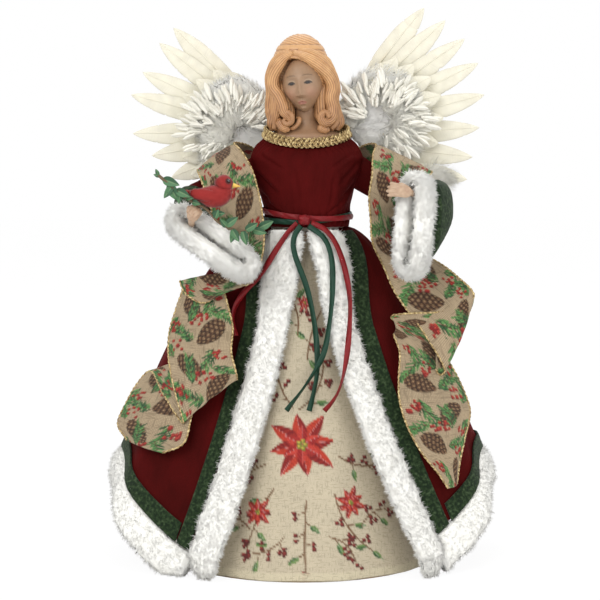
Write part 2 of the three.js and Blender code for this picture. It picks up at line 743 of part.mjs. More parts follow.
// A rounded part of the face: its centre and its half sizes as shares of the face's own
const faceBall = (centreShares, sizeShares, columns, rows) => {
  const halves = [faceHalfWidth, faceHalfDepth, faceHalfHeight];
  const centre = faceCentre.map((c, i) => c + halves[i] * centreShares[i]);
  return ball(centre, ...halves.map((half, i) => half * sizeShares[i]), columns, rows);
};
const face = joinAll([
  faceBall([0, 0, 0], [1, 1, 1], 14, 9),
  faceBall([-0.14, -1, -0.2], [0.12, 0.19, 0.19], 8, 6),
  faceBall([-0.07, -0.62, -0.74], [0.34, 0.29, 0.22], 8, 6),
]);
const faceWindow = faceBall([-0.04, -0.8, -0.25], [1.02, 0.9, 1.3], 16, 10);
const hairCap = cutFrom(ball(hairCentre, hairHalfWidth, hairHalfDepth, hairHalfHeight, 16, 10), [faceWindow]);
const lockPaths = [];
for (const side of [-1, 1]) {
  for (const [reach, depth, drop] of [[0.78, -0.55, 0.3], [0.98, -0.15, 0.26], [0.9, 0.4, 0.34]]) {
    const x = hairCentre[0] + side * hairHalfWidth * reach * 0.86;
    const y = hairCentre[1] + hairHalfDepth * depth;
    lockPaths.push([
      point(hairCentre[0] + side * hairHalfWidth * 0.5, y, hairCentre[2] + hairHalfHeight * 0.5),
      point(x, y, hairCentre[2] - hairHalfHeight * 0.1),
      point(x - side * lockRadius * 0.7, y - lockRadius * 0.2, hairCentre[2] * 0.56),
      point(x - side * lockRadius * 0.1, y, hairCentre[2] * drop + lockRadius * 0.3),
    ]);
  }
}
const lockSize = (share) => lockRadius * (0.75 + 0.35 * share - 0.55 * share ** 4);
const locks = lockPaths.map((path) => bar(new THREE.CatmullRomCurve3(path), 5, 6, lockSize));
const backHair = ball(
  [hairCentre[0], hairCentre[1] + hairHalfDepth * 0.25, hairCentre[2] * 0.72],
  hairHalfWidth * 0.86, hairHalfDepth * 0.62, hairHalfHeight * 0.92, 12, 7);
const headSolid = joinAll([
  loft(bustRings), bar(neckCurve, 1, 12, () => neckRadius), hairCap, face, backHair, ...locks]);
const dowelLocal = bar(
  new THREE.LineCurve3(point(0, 0, dowelBottom - headBase), point(0, 0, dowelTop - headBase + seatGap)),
  1, 12, () => dowelRadius + seatGap);
addPiece('head', cutFrom(headSolid, [dowelLocal]), hair, headHome);

// Gold braid: one closed roll round the neckline, with slanting lobes like a plait's strands
const braidRings = [];
const braidSteps = braidLobes * 3;
const necklineRing = (turn) => {
  const back = Math.sin(turn);
  const slant = back * (necklineRise + necklineDrop) / 2 - back * back * (necklineDrop - necklineRise) / 2;
  return point(
    torsoOffset + (bodiceHalfWidths[6] + braidStandoff) * Math.cos(turn),
    torsoSetback + (bodiceHalfDepths[6] + braidStandoff) * back,
    bodiceTop + slant + braidRise);
};
for (let i = 0; i < braidSteps; i++) {
  const turn = (i / braidSteps) * 2 * Math.PI;
  const centre = necklineRing(turn);
  const lean = point(Math.cos(turn), Math.sin(turn), 0).normalize();
  const width = point(0, 0, 1).addScaledVector(lean, -0.35).normalize();
  const thick = lean.clone().addScaledVector(point(0, 0, 1), 0.35).normalize();
  const lobe = 0.82 + 0.18 * Math.cos((i / 3) * 2 * Math.PI);
  const counter = 0.82 + 0.18 * Math.cos((i / 3) * 2 * Math.PI + Math.PI * 0.66);
  braidRings.push([[1, 0.35, lobe], [0.45, 1, lobe], [-0.45, 1, counter], [-1, 0.35, counter],
    [-0.9, -0.5, 1], [0.9, -0.5, 1]].map(([w, t, size]) => centre.clone()
    .addScaledVector(width, (w * size * braidWidth) / 2)
    .addScaledVector(thick, (t * size * braidThickness) / 2)));
}
addPiece('neck_braid', loft(braidRings, true), gold);

// Sashes: two flat satin bands round the waist, dipping to the knot at the front
function sash(name, rise, material) {
  const rings = [];
  const columns = 28;
  for (let i = 0; i < columns; i++) {
    const turn = (i / columns) * 2 * Math.PI;
    const lean = point(Math.cos(turn), Math.sin(turn), 0);
    const front = Math.max(0, -Math.sin(turn)) ** 2;
    const z = bodiceBottom + rise - sashDip * front;
    const half = bodiceHalfWidths[1] + clothGap;
    const halfDeep = bodiceHalfDepths[1] + clothGap;
    const edge = (radial, height) => point(
      torsoOffset + (half + radial) * lean.x, torsoSetback + (halfDeep + radial) * lean.y, z + height);
    const hs = satinWidth / 2;
    rings.push([edge(0, hs), edge(satinThickness, hs), edge(satinThickness, -hs), edge(0, -hs)]);
  }
  addPiece(name, loft(rings, true), material);
}
sash('sash_red', sashRise, redSatin);
sash('sash_green', sashRise - satinWidth - clothGap, greenSatin);

// Knot at the front of the sashes, and four flat tails that hang from it
const knotCentre = point(torsoOffset - knotOffset,
  torsoSetback - bodiceHalfDepths[1] - clothGap - satinThickness - knotDepth / 2 - seatGap,
  bodiceBottom + sashRise - sashDip - satinWidth / 2);
const knotBall = ball(knotCentre.toArray(), knotWidth / 2, knotDepth / 2, knotHeight / 2, 12, 8);
addPiece('sash_knot', knotBall, redSatin);

const tailRoutes = {
  tail_red_left: [
    [-3.4, -37.3, 247.3], [-9.4, -38.4, 241.6], [-14.4, -39.4, 234.8], [-19.4, -39.6, 227.2],
    [-24.2, -39.4, 219.4], [-28.9, -38, 212], [-33.4, -36, 206.2], [-37.6, -34.4, 202],
    [-41.4, -33.4, 198], [-44.8, -33.2, 193.4], [-47.6, -33.5, 188.6], [-49.4, -34.2, 184],
    [-50.1, -35.4, 179.6], [-49.8, -37, 175], [-48.9, -39, 170.6], [-47.8, -41.4, 166.6],
  ],
  tail_red_right: [
    [6.4, -37.3, 247.5], [11.6, -37.4, 245.6], [16.4, -37, 242.8], [21, -36.8, 238], [25.2, -36.8, 230.8],
    [28.7, -37.6, 221.8], [31.7, -39.8, 210.6], [33.6, -43, 200], [34.4, -47.2, 189.4],
    [34.1, -52.2, 178.6], [33.2, -57.4, 167.4], [31.9, -61.9, 156], [30.1, -65.4, 145.2],
    [27.8, -67.8, 135.6], [24.6, -69.6, 127.8], [20.4, -71, 121.6], [15.6, -72.2, 116.4],
  ],
  tail_green_left: [
    [-0.8, -38.1, 245.6], [-4, -39.2, 241.4], [-5.9, -40.4, 236.8], [-6.3, -41.9, 231.2],
    [-5, -43.7, 224.6], [-2, -45.3, 216.4], [1.4, -45.8, 207.4], [4.2, -46.2, 198.6], [6.3, -47, 189.8],
    [8, -48.6, 181], [9.4, -50.8, 172], [10.3, -53.3, 163], [10.8, -56, 154.2], [10.8, -58.6, 146],
    [10.1, -61.2, 138], [8.6, -63.7, 130.2], [6.8, -66.1, 122.6], [4.9, -68.2, 115.8],
  ],
  tail_green_right: [
    [4.5, -38.5, 245.5], [9.8, -40, 242], [14.2, -40.8, 238.6], [17.8, -41.2, 233.4], [20.2, -41.8, 226.8],
    [21.6, -43.4, 218.6], [21.9, -46.6, 207.4], [21.5, -50.5, 195.4], [20.4, -54, 184],
    [18.9, -57, 173.4], [17.2, -59.2, 163], [14.4, -61, 153.6], [10, -62.8, 145], [5, -64.5, 137.6],
    [0.6, -66, 131.2], [-3.6, -67.3, 125.8], [-7.8, -68.5, 120.6], [-11.2, -69.5, 116.2],
  ],
};
for (const [name, route] of Object.entries(tailRoutes)) {
  const curve = new THREE.CatmullRomCurve3(route.map(vector), false, 'centripetal');
  const steps = 22;
  const rings = [];
  for (let i = 0; i <= steps; i++) {
    const tangent = curve.getTangentAt(i / steps);
    const facing = point(0, -1, 0).addScaledVector(tangent, tangent.y).normalize();
    const across = tangent.clone().cross(facing).normalize().multiplyScalar(satinWidth / 2);
    const thick = facing.multiplyScalar(satinThickness / 2);
    const centre = curve.getPointAt(i / steps);
    const corner = (a, b) => centre.clone().addScaledVector(across, a).addScaledVector(thick, b);
    rings.push([corner(-1, 1), corner(1, 1), corner(1, -1), corner(-1, -1)]);
  }
  addPiece(name, loft(rings), name.includes('red') ? redSatin : greenSatin);
}

// Burlap ribbons: each row gives the inner and then the outer edge as an angle round the figure, a
// share of the waist's height, and a standoff from the robe as a share of the ribbon's width
const burlapRowShares = {
  left: [
    [-128, 1.193, 0.03, -107, 1.119, 0.65], [-108, 1.243, 0.15, -98, 1.156, 0.84],
    [-85, 1.255, 0.34, -87, 1.173, 0.88], [-63, 1.226, 0.33, -73, 1.14, 0.87],
    [-49, 1.173, 0.33, -68, 1.078, 0.81], [-40, 1.086, 0.33, -68, 1.004, 0.68],
    [-35, 1.016, 0.37, -64, 0.938, 0.47], [-32, 0.955, 0.4, -59, 0.877, 0.4],
    [-33, 0.872, 0.45, -55, 0.815, 0.52], [-37, 0.84, 0.54, -62, 0.782, 0.47],
    [-47, 0.852, 0.57, -72, 0.807, 0.48], [-52, 0.875, 0.6, -76, 0.842, 0.56],
    [-55, 0.832, 0.48, -78, 0.823, 0.42], [-51, 0.777, 0.42, -77, 0.757, 0.36],
    [-45, 0.715, 0.4, -75, 0.695, 0.34], [-42, 0.644, 0.4, -70, 0.626, 0.34],
    [-37, 0.594, 0.38, -63, 0.535, 0.34], [-36, 0.569, 0.34, -56, 0.435, 0.3],
    [-42, 0.569, 0.2, -60, 0.442, 0.19], [-56, 0.598, 0.14, -70, 0.511, 0.15],
    [-62, 0.625, 0.17, -84, 0.564, 0.18], [-55, 0.557, 0.24, -86, 0.52, 0.26],
    [-55, 0.465, 0.26, -86, 0.465, 0.3], [-54, 0.377, 0.27, -86, 0.406, 0.31],
    [-60, 0.345, 0.24, -75, 0.368, 0.24],
  ],
  right: [
    [126, 1.193, 0.12, 107, 1.119, 0.73], [105, 1.243, 0.26, 95, 1.156, 1.03],
    [86, 1.251, 0.42, 85, 1.169, 1.25], [67, 1.218, 0.47, 76, 1.14, 1.16],
    [56, 1.156, 0.58, 70, 1.086, 0.96], [50, 1.095, 0.63, 70, 1.016, 0.84],
    [49, 1.029, 0.68, 70, 0.963, 0.7], [48, 0.967, 0.7, 72, 0.93, 0.7],
    [60, 0.89, 0.5, 78, 0.912, 0.8], [63, 0.819, 0.42, 76, 0.885, 1.0],
    [65, 0.771, 0.4, 74, 0.855, 1.15], [68, 0.685, 0.4, 72, 0.82, 1.3],
    [70, 0.578, 0.36, 72, 0.8, 1.28], [71, 0.565, 0.22, 72, 0.785, 1.1],
    [73, 0.61, 0.13, 70, 0.757, 0.78], [70, 0.66, 0.12, 63, 0.749, 0.42],
    [62, 0.69, 0.17, 60, 0.74, 0.3], [58, 0.638, 0.3, 74, 0.65, 0.28],
    [54, 0.558, 0.28, 80, 0.575, 0.24], [52, 0.501, 0.26, 82, 0.479, 0.22],
    [52, 0.429, 0.24, 80, 0.446, 0.22], [54, 0.352, 0.22, 69, 0.375, 0.22],
    [57, 0.285, 0.22, 64, 0.308, 0.22], [58, 0.245, 0.22, 61, 0.256, 0.22],
  ],
};
const offRobe = ([angle, heightShare, standShare]) => {
  const z = heightShare * waistHeight;
  return around(angle, robeRadius(angle, z) + standShare * burlapWidth, z);
};
for (const [name, rows] of Object.entries(burlapRowShares)) {
  const edge = (from) => new THREE.CatmullRomCurve3(
    rows.map((row) => offRobe(row.slice(from, from + 3))), false, 'centripetal');
  const [inner, outer] = [edge(0), edge(3)];
  const steps = 2 * (rows.length - 1);
  const grid = [];
  for (let i = 0; i <= steps; i++) {
    const [a, b] = [inner.getPoint(i / steps), outer.getPoint(i / steps)];
    grid.push([a, a.clone().lerp(b, 0.5), b]);
  }
  const normals = grid.map((row, i) => row.map((p, j) => {
    const run = grid[Math.min(i + 1, steps)][j].clone().sub(grid[Math.max(i - 1, 0)][j]);
    const span = row[2].clone().sub(row[0]);
    return run.cross(span).normalize();
  }));
  grid.forEach((row) => row[1].addScaledVector(row[1].clone().setZ(0).normalize(), burlapBow));
  const rings = grid.map((row, i) => [
    ...row.map((p, j) => p.clone().addScaledVector(normals[i][j], burlapThickness / 2)),
    ...row.map((p, j) => p.clone().addScaledVector(normals[i][j], -burlapThickness / 2)).reverse(),
  ]);
  addPiece(`burlap_ribbon_${name}`, loft(rings), burlap);
}

// Wing card: a stiff plate behind the shoulders, with a channel for each wing's wire stem
const plateShape = (width, height, thickness) => {
  const shape = new THREE.Shape();
  shape.absellipse(0, 0, width / 2, height / 2, 0, 2 * Math.PI);
  const settings = { depth: thickness, bevelEnabled: false, curveSegments: 10 };
  const plate = new THREE.ExtrudeGeometry(shape, settings);
  plate.rotateX(Math.PI / 2);
  return plate;
};
const pivotDepth = wingPlateBack + wingPlateThickness + channelRadius - seatGap;
const channelHalf = channelLength / 2;
const plate = plateShape(wingPlateWidth, wingPlateHeight, wingPlateThickness);
plate.translate(torsoOffset, wingPlateBack + wingPlateThickness, wingPlateCentreHeight);
const upright = (x, y, radius, from, to) => bar(
  new THREE.LineCurve3(point(x, y, from), point(x, y, to)), 1, 10, () => radius);
const channelX = (side) => torsoOffset + side * channelOffset;
const channel = (side, radius, extra) => upright(channelX(side), pivotDepth, radius,
  wingPlateCentreHeight - channelHalf - extra, wingPlateCentreHeight + channelHalf + extra);
const wingCard = cutFrom(joinAll([plate, channel(-1, channelRadius, 0), channel(1, channelRadius, 0)]),
  [channel(-1, channelBore, overrun), channel(1, channelBore, overrun)]);
addPiece('wing_card', wingCard, card);

// One feather along +X from the quill: a thin blade with a raised shaft, a swept tip and a camber
function featherBlade(length, width, lead) {
  const shareList = [0, 0.1, 0.22, 0.36, 0.52, 0.68, 0.82, 0.92, 1];
  const rings = shareList.map((share) => {
    const vane = Math.sin(Math.PI * Math.min(1, 0.12 + share * 0.86)) ** 0.55;
    const taper = share > 0.8 ? 1 - ((share - 0.8) / 0.2) ** 2 * 0.86 : 1;
    const half = (width / 2) * vane * taper * ease(share, -0.12, 0.3);
    const shaft = featherThickness * mix(1, 0.45, share);
    const rim = featherThickness * 0.22;
    const x = length * share;
    const bend = -lead * width * 0.25 * share * share;
    const y = -featherCamber * share * share;
    const place = (across, thick) => point(x, y + thick / 2, bend + across);
    return [
      place(lead * half * 0.8, rim), place(0, shaft), place(-lead * half * 1.2, rim),
      place(-lead * half * 1.2, -rim), place(0, -shaft), place(lead * half * 0.8, -rim),
    ];
  });
  return loft(rings);
}

// Each wing hangs in a group at its stem's pivot. Places run outwards and up from there, as shares
// of the wing's reach and rise.
const wingSides = {
  left: {
    side: -1,
    tipShares: [
      [0.62, 0.87], [0.7, 0.77], [0.8, 0.58], [0.87, 0.43], [0.87, 0.17], [0.77, 0.02], [0.67, -0.13]],
    rootShares: [
      [0.24, 0.34], [0.26, 0.28], [0.28, 0.22], [0.28, 0.18], [0.27, 0.12], [0.25, 0.06], [0.22, 0.02]],
  },
  right: {
    side: 1,
    tipShares: [
      [0.53, 1], [0.65, 0.92], [0.76, 0.8], [0.84, 0.64], [0.88, 0.43], [0.86, 0.21], [0.83, 0.01]],
    rootShares: [
      [0.22, 0.44], [0.25, 0.38], [0.27, 0.31], [0.28, 0.24], [0.28, 0.17], [0.26, 0.1], [0.24, 0.03]],
  },
};
const padHalfShares = [0.21, 0.29];
const padCentreShares = { left: [0.3, 0.21], right: [0.32, 0.28] };
const framePlane = pivotDepth + channelRadius;
const firstDepth = featherThickness / 2 + seatGap;
const stackDepth = firstDepth + (featherCount - 1) * featherPitch;
for (const [name, wing] of Object.entries(wingSides)) {
  const home = new THREE.Group();
  home.position.set(channelX(wing.side), pivotDepth, wingPlateCentreHeight);
  figure.add(home);
  const at = ([outShare, upShare], depth) =>
    point(wing.side * outShare * wingReach, depth, upShare * wingRise);
  const cardDepth = framePlane - pivotDepth + stackDepth;
  const topOfStem = channelHalf + stemRise;
  const bottomOfStem = -channelHalf - stemRise / 2;
  const cardCentre = at(padCentreShares[name], cardDepth);
  const stemRoute = new THREE.CatmullRomCurve3([
    point(0, 0, bottomOfStem),
    point(0, 0, 0),
    point(0, 0, channelHalf),
    point(0, 0, topOfStem - stemRise * 0.3),
    point(wing.side * stemRise * 0.7, stemRise * 0.4, topOfStem),
    point(wing.side * channelOffset, cardDepth * 0.85, topOfStem + stemRise * 0.3),
    point(wing.side * (channelOffset + stemRise), cardDepth + frameThickness / 2, topOfStem + stemRise * 0.6),
    cardCentre.clone().setY(cardDepth + frameThickness / 2),
  ], false, 'centripetal');
  const back = plateShape(frameLength, frameHeight, frameThickness);
  back.translate(cardCentre.x, cardDepth + frameThickness, cardCentre.z);
  addPiece(`wing_frame_${name}`, joinAll([bar(stemRoute, 16, 6, () => stemRadius), back]), card, home);
  for (let i = 0; i < featherCount; i++) {
    const depth = cardDepth - firstDepth - featherPitch * i;
    const root = at(wing.rootShares[i], depth);
    const tip = at(wing.tipShares[i], depth);
    const run = tip.clone().sub(root);
    const blade = addPiece(`primary_${name}_${i + 1}`,
      featherBlade(run.length(), featherWidth, wing.side), feather, home);
    blade.position.copy(root);
    blade.rotation.y = -Math.atan2(run.z, run.x);
  }
  const nestle = wing.side < 0 ? padNestleLeft : padNestleRight;
  const padDepth = cardDepth - stackDepth - padThickness / 2 + nestle;
  const padCentre = at(padCentreShares[name], padDepth);
  const [padHalfReach, padHalfRise] = [padHalfShares[0] * wingReach, padHalfShares[1] * wingRise];
  const pad = ball(padCentre.toArray(), padHalfReach, padThickness / 2, padHalfRise, 14, 6);
  addPiece(`covert_pad_${name}`, pad, down, home);
}

// Bird: its body is lofted from the tail to the breast along a leaning axis. Its place and the twig's
// are shares of the sprig's span, from the left cuff.
const fromCuff = (shares) => armPlace(armShares.left.cuffCentre).addScaledVector(vector(shares), sprigSpan);
const birdPerchShare = [0, -0.19, 0.33];
const birdHome = new THREE.Group();
birdHome.position.copy(fromCuff(birdPerchShare));
birdHome.rotation.y = -6 * degree;
figure.add(birdHome);
const birdShares = [
  // share of length, height, half height and half width as shares of the girth
  [-0.52, 0.75, 0.16, 0.42], [-0.38, 0.5, 0.24, 0.45], [-0.26, 0.24, 0.5, 0.52], [-0.12, 0.02, 0.86, 0.8],
  [0.03, -0.06, 1.02, 0.96], [0.17, -0.04, 0.98, 0.94], [0.29, 0.08, 0.78, 0.76], [0.37, 0.18, 0.42, 0.44],
];
const birdRing = ([along, rise, high, wide]) => {
  const centre = point(birdLength * along, 0, birdGirth * rise);
  return oval(centre, point(0, birdGirth * wide, 0), point(0, 0, birdGirth * high), 10);
};
const birdBody = loft(birdShares.map(birdRing));
const birdHeadCentre = [birdLength * 0.25, 0, birdGirth * 0.95];
const birdHead = ball(birdHeadCentre, birdHeadRadius, birdHeadRadius * 0.9, birdHeadRadius, 10, 7);
const eyeSeat = (side) => {
  const turn = point(0.55, side * 0.8, 0.25).normalize();
  const halves = point(birdHeadRadius, birdHeadRadius * 0.9, birdHeadRadius);
  return vector(birdHeadCentre).add(turn.multiply(halves));
};
const beakRoot = vector(birdHeadCentre).add(point(birdHeadRadius * 0.9, 0, -birdHeadRadius * 0.25));
const eyeBall = (side, radius) => ball(eyeSeat(side).toArray(), radius, radius, radius, 8, 6);
const beakTip = beakRoot.clone().add(point(beakLength, 0, -beakLength * 0.3));
const beak = (extra) => bar(
  new THREE.LineCurve3(beakRoot.clone().add(point(-extra, 0, 0)), beakTip),
  3, 8, (share) => (beakRadius + extra) * (1 - 0.8 * share));
addPiece('bird_body', cutFrom(joinAll([birdBody, birdHead]),
  [eyeBall(-1, eyeRadius + seatGap), eyeBall(1, eyeRadius + seatGap), beak(seatGap)]), birdRed, birdHome);
addPiece('bird_beak', beak(0), beakYellow, birdHome);
addPiece('bird_eye_left', eyeBall(1, eyeRadius), eyeBlack, birdHome);
addPiece('bird_eye_right', eyeBall(-1, eyeRadius), eyeBlack, birdHome);

// Sprig: a bent twig with leaves fused along it
const twigShares = [
  [-0.37, -0.21, 0.48], [-0.27, -0.24, 0.4], [-0.17, -0.245, 0.322], [-0.105, -0.22, 0.277],
  [-0.04, -0.2, 0.246], [0.06, -0.23, 0.145], [0.19, -0.21, 0.095], [0.34, -0.16, 0.11],
];
const twigRoute = new THREE.CatmullRomCurve3(twigShares.map(fromCuff), false, 'centripetal');
const sprigParts = [bar(twigRoute, 14, 6, () => twigRadius)];
const leafShares = [
  // share of the twig's length, direction in degrees up from the right, forward lean, share of size
  [0.02, 115, 0.2, 0.4], [0.03, 160, 0.3, 0.35], [0.06, -20, 0.4, 1], [0.12, -60, 0.25, 1.05],
  [0.2, -25, 0.5, 0.9], [0.16, -125, 0.35, 0.75], [0.24, -95, 0.4, 0.6], [0.3, -5, 0.9, 0.5],
  [0.36, -15, 0.9, 0.6], [0.55, 5, 0.2, 0.75], [0.6, 70, 0.5, 0.6], [0.7, 35, 0.2, 0.85],
  [0.72, 130, 0.5, 0.6], [0.76, -60, 0.4, 0.8], [0.79, -110, 0.45, 0.75], [0.85, -75, 0.3, 0.8],
  [0.87, 30, 0.3, 0.8], [0.93, -15, 0.2, 0.8], [0.98, 25, 0.2, 0.9],
];
for (const [share, angle, forward, size] of leafShares) {
  const root = twigRoute.getPointAt(share);
  const aim = point(Math.cos(angle * degree), -forward, Math.sin(angle * degree)).normalize();
  const across = aim.clone().cross(point(0, -1, 0)).normalize();
  const face = across.clone().cross(aim).normalize();
  const rings = [0, 0.45, 1].map((along) => {
    const half = (leafWidth / 2) * size * (0.14 + 0.86 * Math.sin(Math.PI * Math.min(1, along * 0.94)));
    const thick = leafThickness * mix(1, 0.5, along);
    return oval(root.clone().addScaledVector(aim, leafLength * size * along),
      across.clone().multiplyScalar(half), face.clone().multiplyScalar(thick / 2), 4);
  });
  sprigParts.push(loft(rings));
}
addPiece('sprig', joinAll(sprigParts), leafGreen);

export default figure;
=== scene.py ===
# Angel tree topper with feather wings, a velvet robe and a printed linen underskirt. Shapes are
# worked out in millimetres, and turned into metres where a mesh is made. Left and right are the
# viewer's, and angles run round the figure from its front towards the right.
import math

import bpy
import numpy as np
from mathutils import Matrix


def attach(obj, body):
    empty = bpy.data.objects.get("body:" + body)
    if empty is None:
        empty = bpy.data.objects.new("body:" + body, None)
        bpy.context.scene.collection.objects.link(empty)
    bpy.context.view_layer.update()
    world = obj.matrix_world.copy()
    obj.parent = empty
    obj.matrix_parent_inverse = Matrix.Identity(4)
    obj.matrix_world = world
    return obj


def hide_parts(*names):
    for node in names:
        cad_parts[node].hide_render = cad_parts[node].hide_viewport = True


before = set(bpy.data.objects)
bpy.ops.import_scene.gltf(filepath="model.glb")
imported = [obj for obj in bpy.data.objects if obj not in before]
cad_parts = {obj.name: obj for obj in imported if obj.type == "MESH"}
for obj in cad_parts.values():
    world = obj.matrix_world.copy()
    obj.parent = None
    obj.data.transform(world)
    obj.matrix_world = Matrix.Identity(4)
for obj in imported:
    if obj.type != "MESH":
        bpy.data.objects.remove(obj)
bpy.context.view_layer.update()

# Camera: a long lens 1.3 m in front of the figure, at the height of its shoulders and tipped a
# little down.
camera_data = bpy.data.cameras.new("camera")
camera_data.sensor_width = 36
camera_data.lens = 107.3
camera_tilt = 4.97
camera = bpy.data.objects.new("camera", camera_data)
camera.location = (-0.0015, -1.323, 0.3038)
camera.rotation_euler = (math.radians(90 - camera_tilt), 0, 0)
bpy.context.collection.objects.link(camera)
bpy.context.scene.camera = camera
bpy.context.scene.view_settings.view_transform = "Standard"

# Helpers for the first meshes: every piece is made from arrays of points and faces.
MM = 0.001


def mix(low, high, share):
    """A straight blend from low to high."""
    return low + (high - low) * share


def ease(x, low, high):
    """0 below low, 1 above high, and the cubic 3t^2 - 2t^3 between them."""
    t = np.clip((np.asarray(x, float) - low) / (high - low), 0, 1)
    return t * t * (3 - 2 * t)


def unit(vectors):
    """Each vector divided by its length."""
    vectors = np.asarray(vectors, float)
    return vectors / np.maximum(np.linalg.norm(vectors, axis=-1, keepdims=True), 1e-9)


def ripple(points, size, seed):
    """A smooth field from -1 to 1: the mean of seven sine waves of about the given size."""
    draw = np.random.default_rng(seed)
    waves = unit(draw.normal(size=(7, 3))) * draw.uniform(0.6, 1.6, (7, 1)) * 2 * np.pi / size
    phases = draw.uniform(0, 2 * np.pi, 7)
    return np.sin(np.asarray(points) @ waves.T + phases).mean(-1) * 1.6


def run_along(path):
    """The length of a path up to each of its points."""
    return np.concatenate([[0], np.cumsum(np.linalg.norm(np.diff(path, axis=0), axis=1))])


def through(route, count, even=True):
    """A centripetal Catmull-Rom curve through the route, at even lengths or at even shares."""
    p = np.asarray(route, float)
    p = np.vstack([2 * p[0] - p[1], p, 2 * p[-1] - p[-2]])
    spans = len(p) - 3
    t = np.linspace(0, spans, 40 * spans + 1 if even else count)
    i = np.minimum(t.astype(int), spans - 1)
    w = (t - i)[:, None]
    p0, p1, p2, p3 = p[i], p[i + 1], p[i + 2], p[i + 3]
    d0, d1, d2 = (np.maximum(np.linalg.norm(b - a, axis=1), 1e-6)[:, None] ** 0.5
                  for a, b in ((p0, p1), (p1, p2), (p2, p3)))
    m1 = ((p1 - p0) / d0 - (p2 - p0) / (d0 + d1) + (p2 - p1) / d1) * d1
    m2 = ((p2 - p1) / d1 - (p3 - p1) / (d1 + d2) + (p3 - p2) / d2) * d1
    curve = p1 + m1 * w + (3 * (p2 - p1) - 2 * m1 - m2) * w ** 2 + (2 * (p1 - p2) + m1 + m2) * w ** 3
    if not even:
        return curve
    run = run_along(curve)
    at = np.linspace(0, run[-1], count)
    return np.stack([np.interp(at, run, curve[:, k]) for k in range(3)], -1)


def grid_faces(rows, columns, wrap_rows=False, wrap_columns=False):
    """Four-sided faces of a grid of points counted row by row, closed where it wraps."""
    i = np.arange(rows if wrap_rows else rows - 1)
    j = np.arange(columns if wrap_columns else columns - 1)
    a, b = np.meshgrid(i, j, indexing="ij")
    a2, b2 = (a + 1) % rows, (b + 1) % columns
    corners = [a * columns + b, a * columns + b2, a2 * columns + b2, a2 * columns + b]
    return np.stack(corners, -1).reshape(-1, 4)


def triangles(quads):
    """Each four-sided face cut in two."""
    return np.concatenate([quads[:, [0, 1, 2]], quads[:, [0, 2, 3]]])


def join(parts):
    """One list of points and one of faces from many, each part's faces moved past the points before,
    and then one list of each thing more that the parts carry, such as tones."""
    starts = np.cumsum([0] + [len(part[0]) for part in parts])
    faces = np.concatenate([part[1] + start for part, start in zip(parts, starts)])
    points, *more = (np.concatenate(lists) for lists in zip(*((part[0], *part[2:]) for part in parts)))
    return points, faces, *more


def facing_out(points, faces):
    """The faces, turned round if the volume they enclose comes out negative."""
    a, b, c = (points[faces[:, k]] for k in range(3))
    return faces if np.einsum("ij,ij->", a, np.cross(b, c)) >= 0 else faces[:, ::-1]


def piece_of(name, points, faces, material, slot, body="figure", replaces=(), paint=None, uv=None,
             normals=None):
    """A mesh object from arrays in millimetres, with its body and the nodes it stands for. The slot is not
    used.
    """
    mesh = bpy.data.meshes.new(name)
    points = np.asarray(points, float).reshape(-1, 3)
    faces = np.asarray(faces, np.int32)
    mesh.vertices.add(len(points))
    mesh.vertices.foreach_set("co", (points * MM).ravel())
    mesh.loops.add(faces.size)
    mesh.loops.foreach_set("vertex_index", faces.ravel())
    mesh.polygons.add(len(faces))
    mesh.polygons.foreach_set("loop_start", np.arange(0, faces.size, faces.shape[1], dtype=np.int32))
    mesh.update(calc_edges=True)
    mesh.polygons.foreach_set("use_smooth", np.full(len(faces), True))
    if uv is not None:
        layer = mesh.uv_layers.new(name="UVMap")
        layer.data.foreach_set("uv", np.asarray(uv, float).reshape(-1, 2)[faces.ravel()].ravel())
    if paint is not None:
        colours = np.ones((len(points), 4))
        colours[:, :3] = np.asarray(paint, float).reshape(-1, 3)
        layer = mesh.color_attributes.new("paint", "FLOAT_COLOR", "POINT")
        layer.data.foreach_set("color", colours.ravel())
    if normals is not None:
        mesh.normals_split_custom_set_from_vertices(unit(normals).reshape(-1, 3))
    piece = bpy.data.objects.new(name, mesh)
    bpy.context.collection.objects.link(piece)
    mesh.materials.append(material)
    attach(piece, body)
    if replaces:
        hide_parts(*replaces)
    return piece


def thicken(piece, thickness):
    """Gives a sheet its two faces, half the thickness to each side, and its edge."""
    wall = piece.modifiers.new("thickness", "SOLIDIFY")
    wall.thickness = thickness * MM
    wall.offset = 0
    return piece


def skin(rings, joined=False):
    """Points and faces of a closed body from a row of rings. Each end closes to its ring's middle."""
    rows, columns = rings.shape[:2]
    points = rings.reshape(-1, 3)
    faces = triangles(grid_faces(rows, columns, joined, True))
    if not joined:
        j = np.arange(columns)
        k = (j + 1) % columns
        count, last = rows * columns, (rows - 1) * columns
        start = np.stack([np.full(columns, count), k, j], -1)
        end = np.stack([np.full(columns, count + 1), j + last, k + last], -1)
        points = np.concatenate([points, rings[[0, -1]].mean(1)])
        faces = np.concatenate([faces, start, end])
    return points, facing_out(points - points.mean(0), faces)


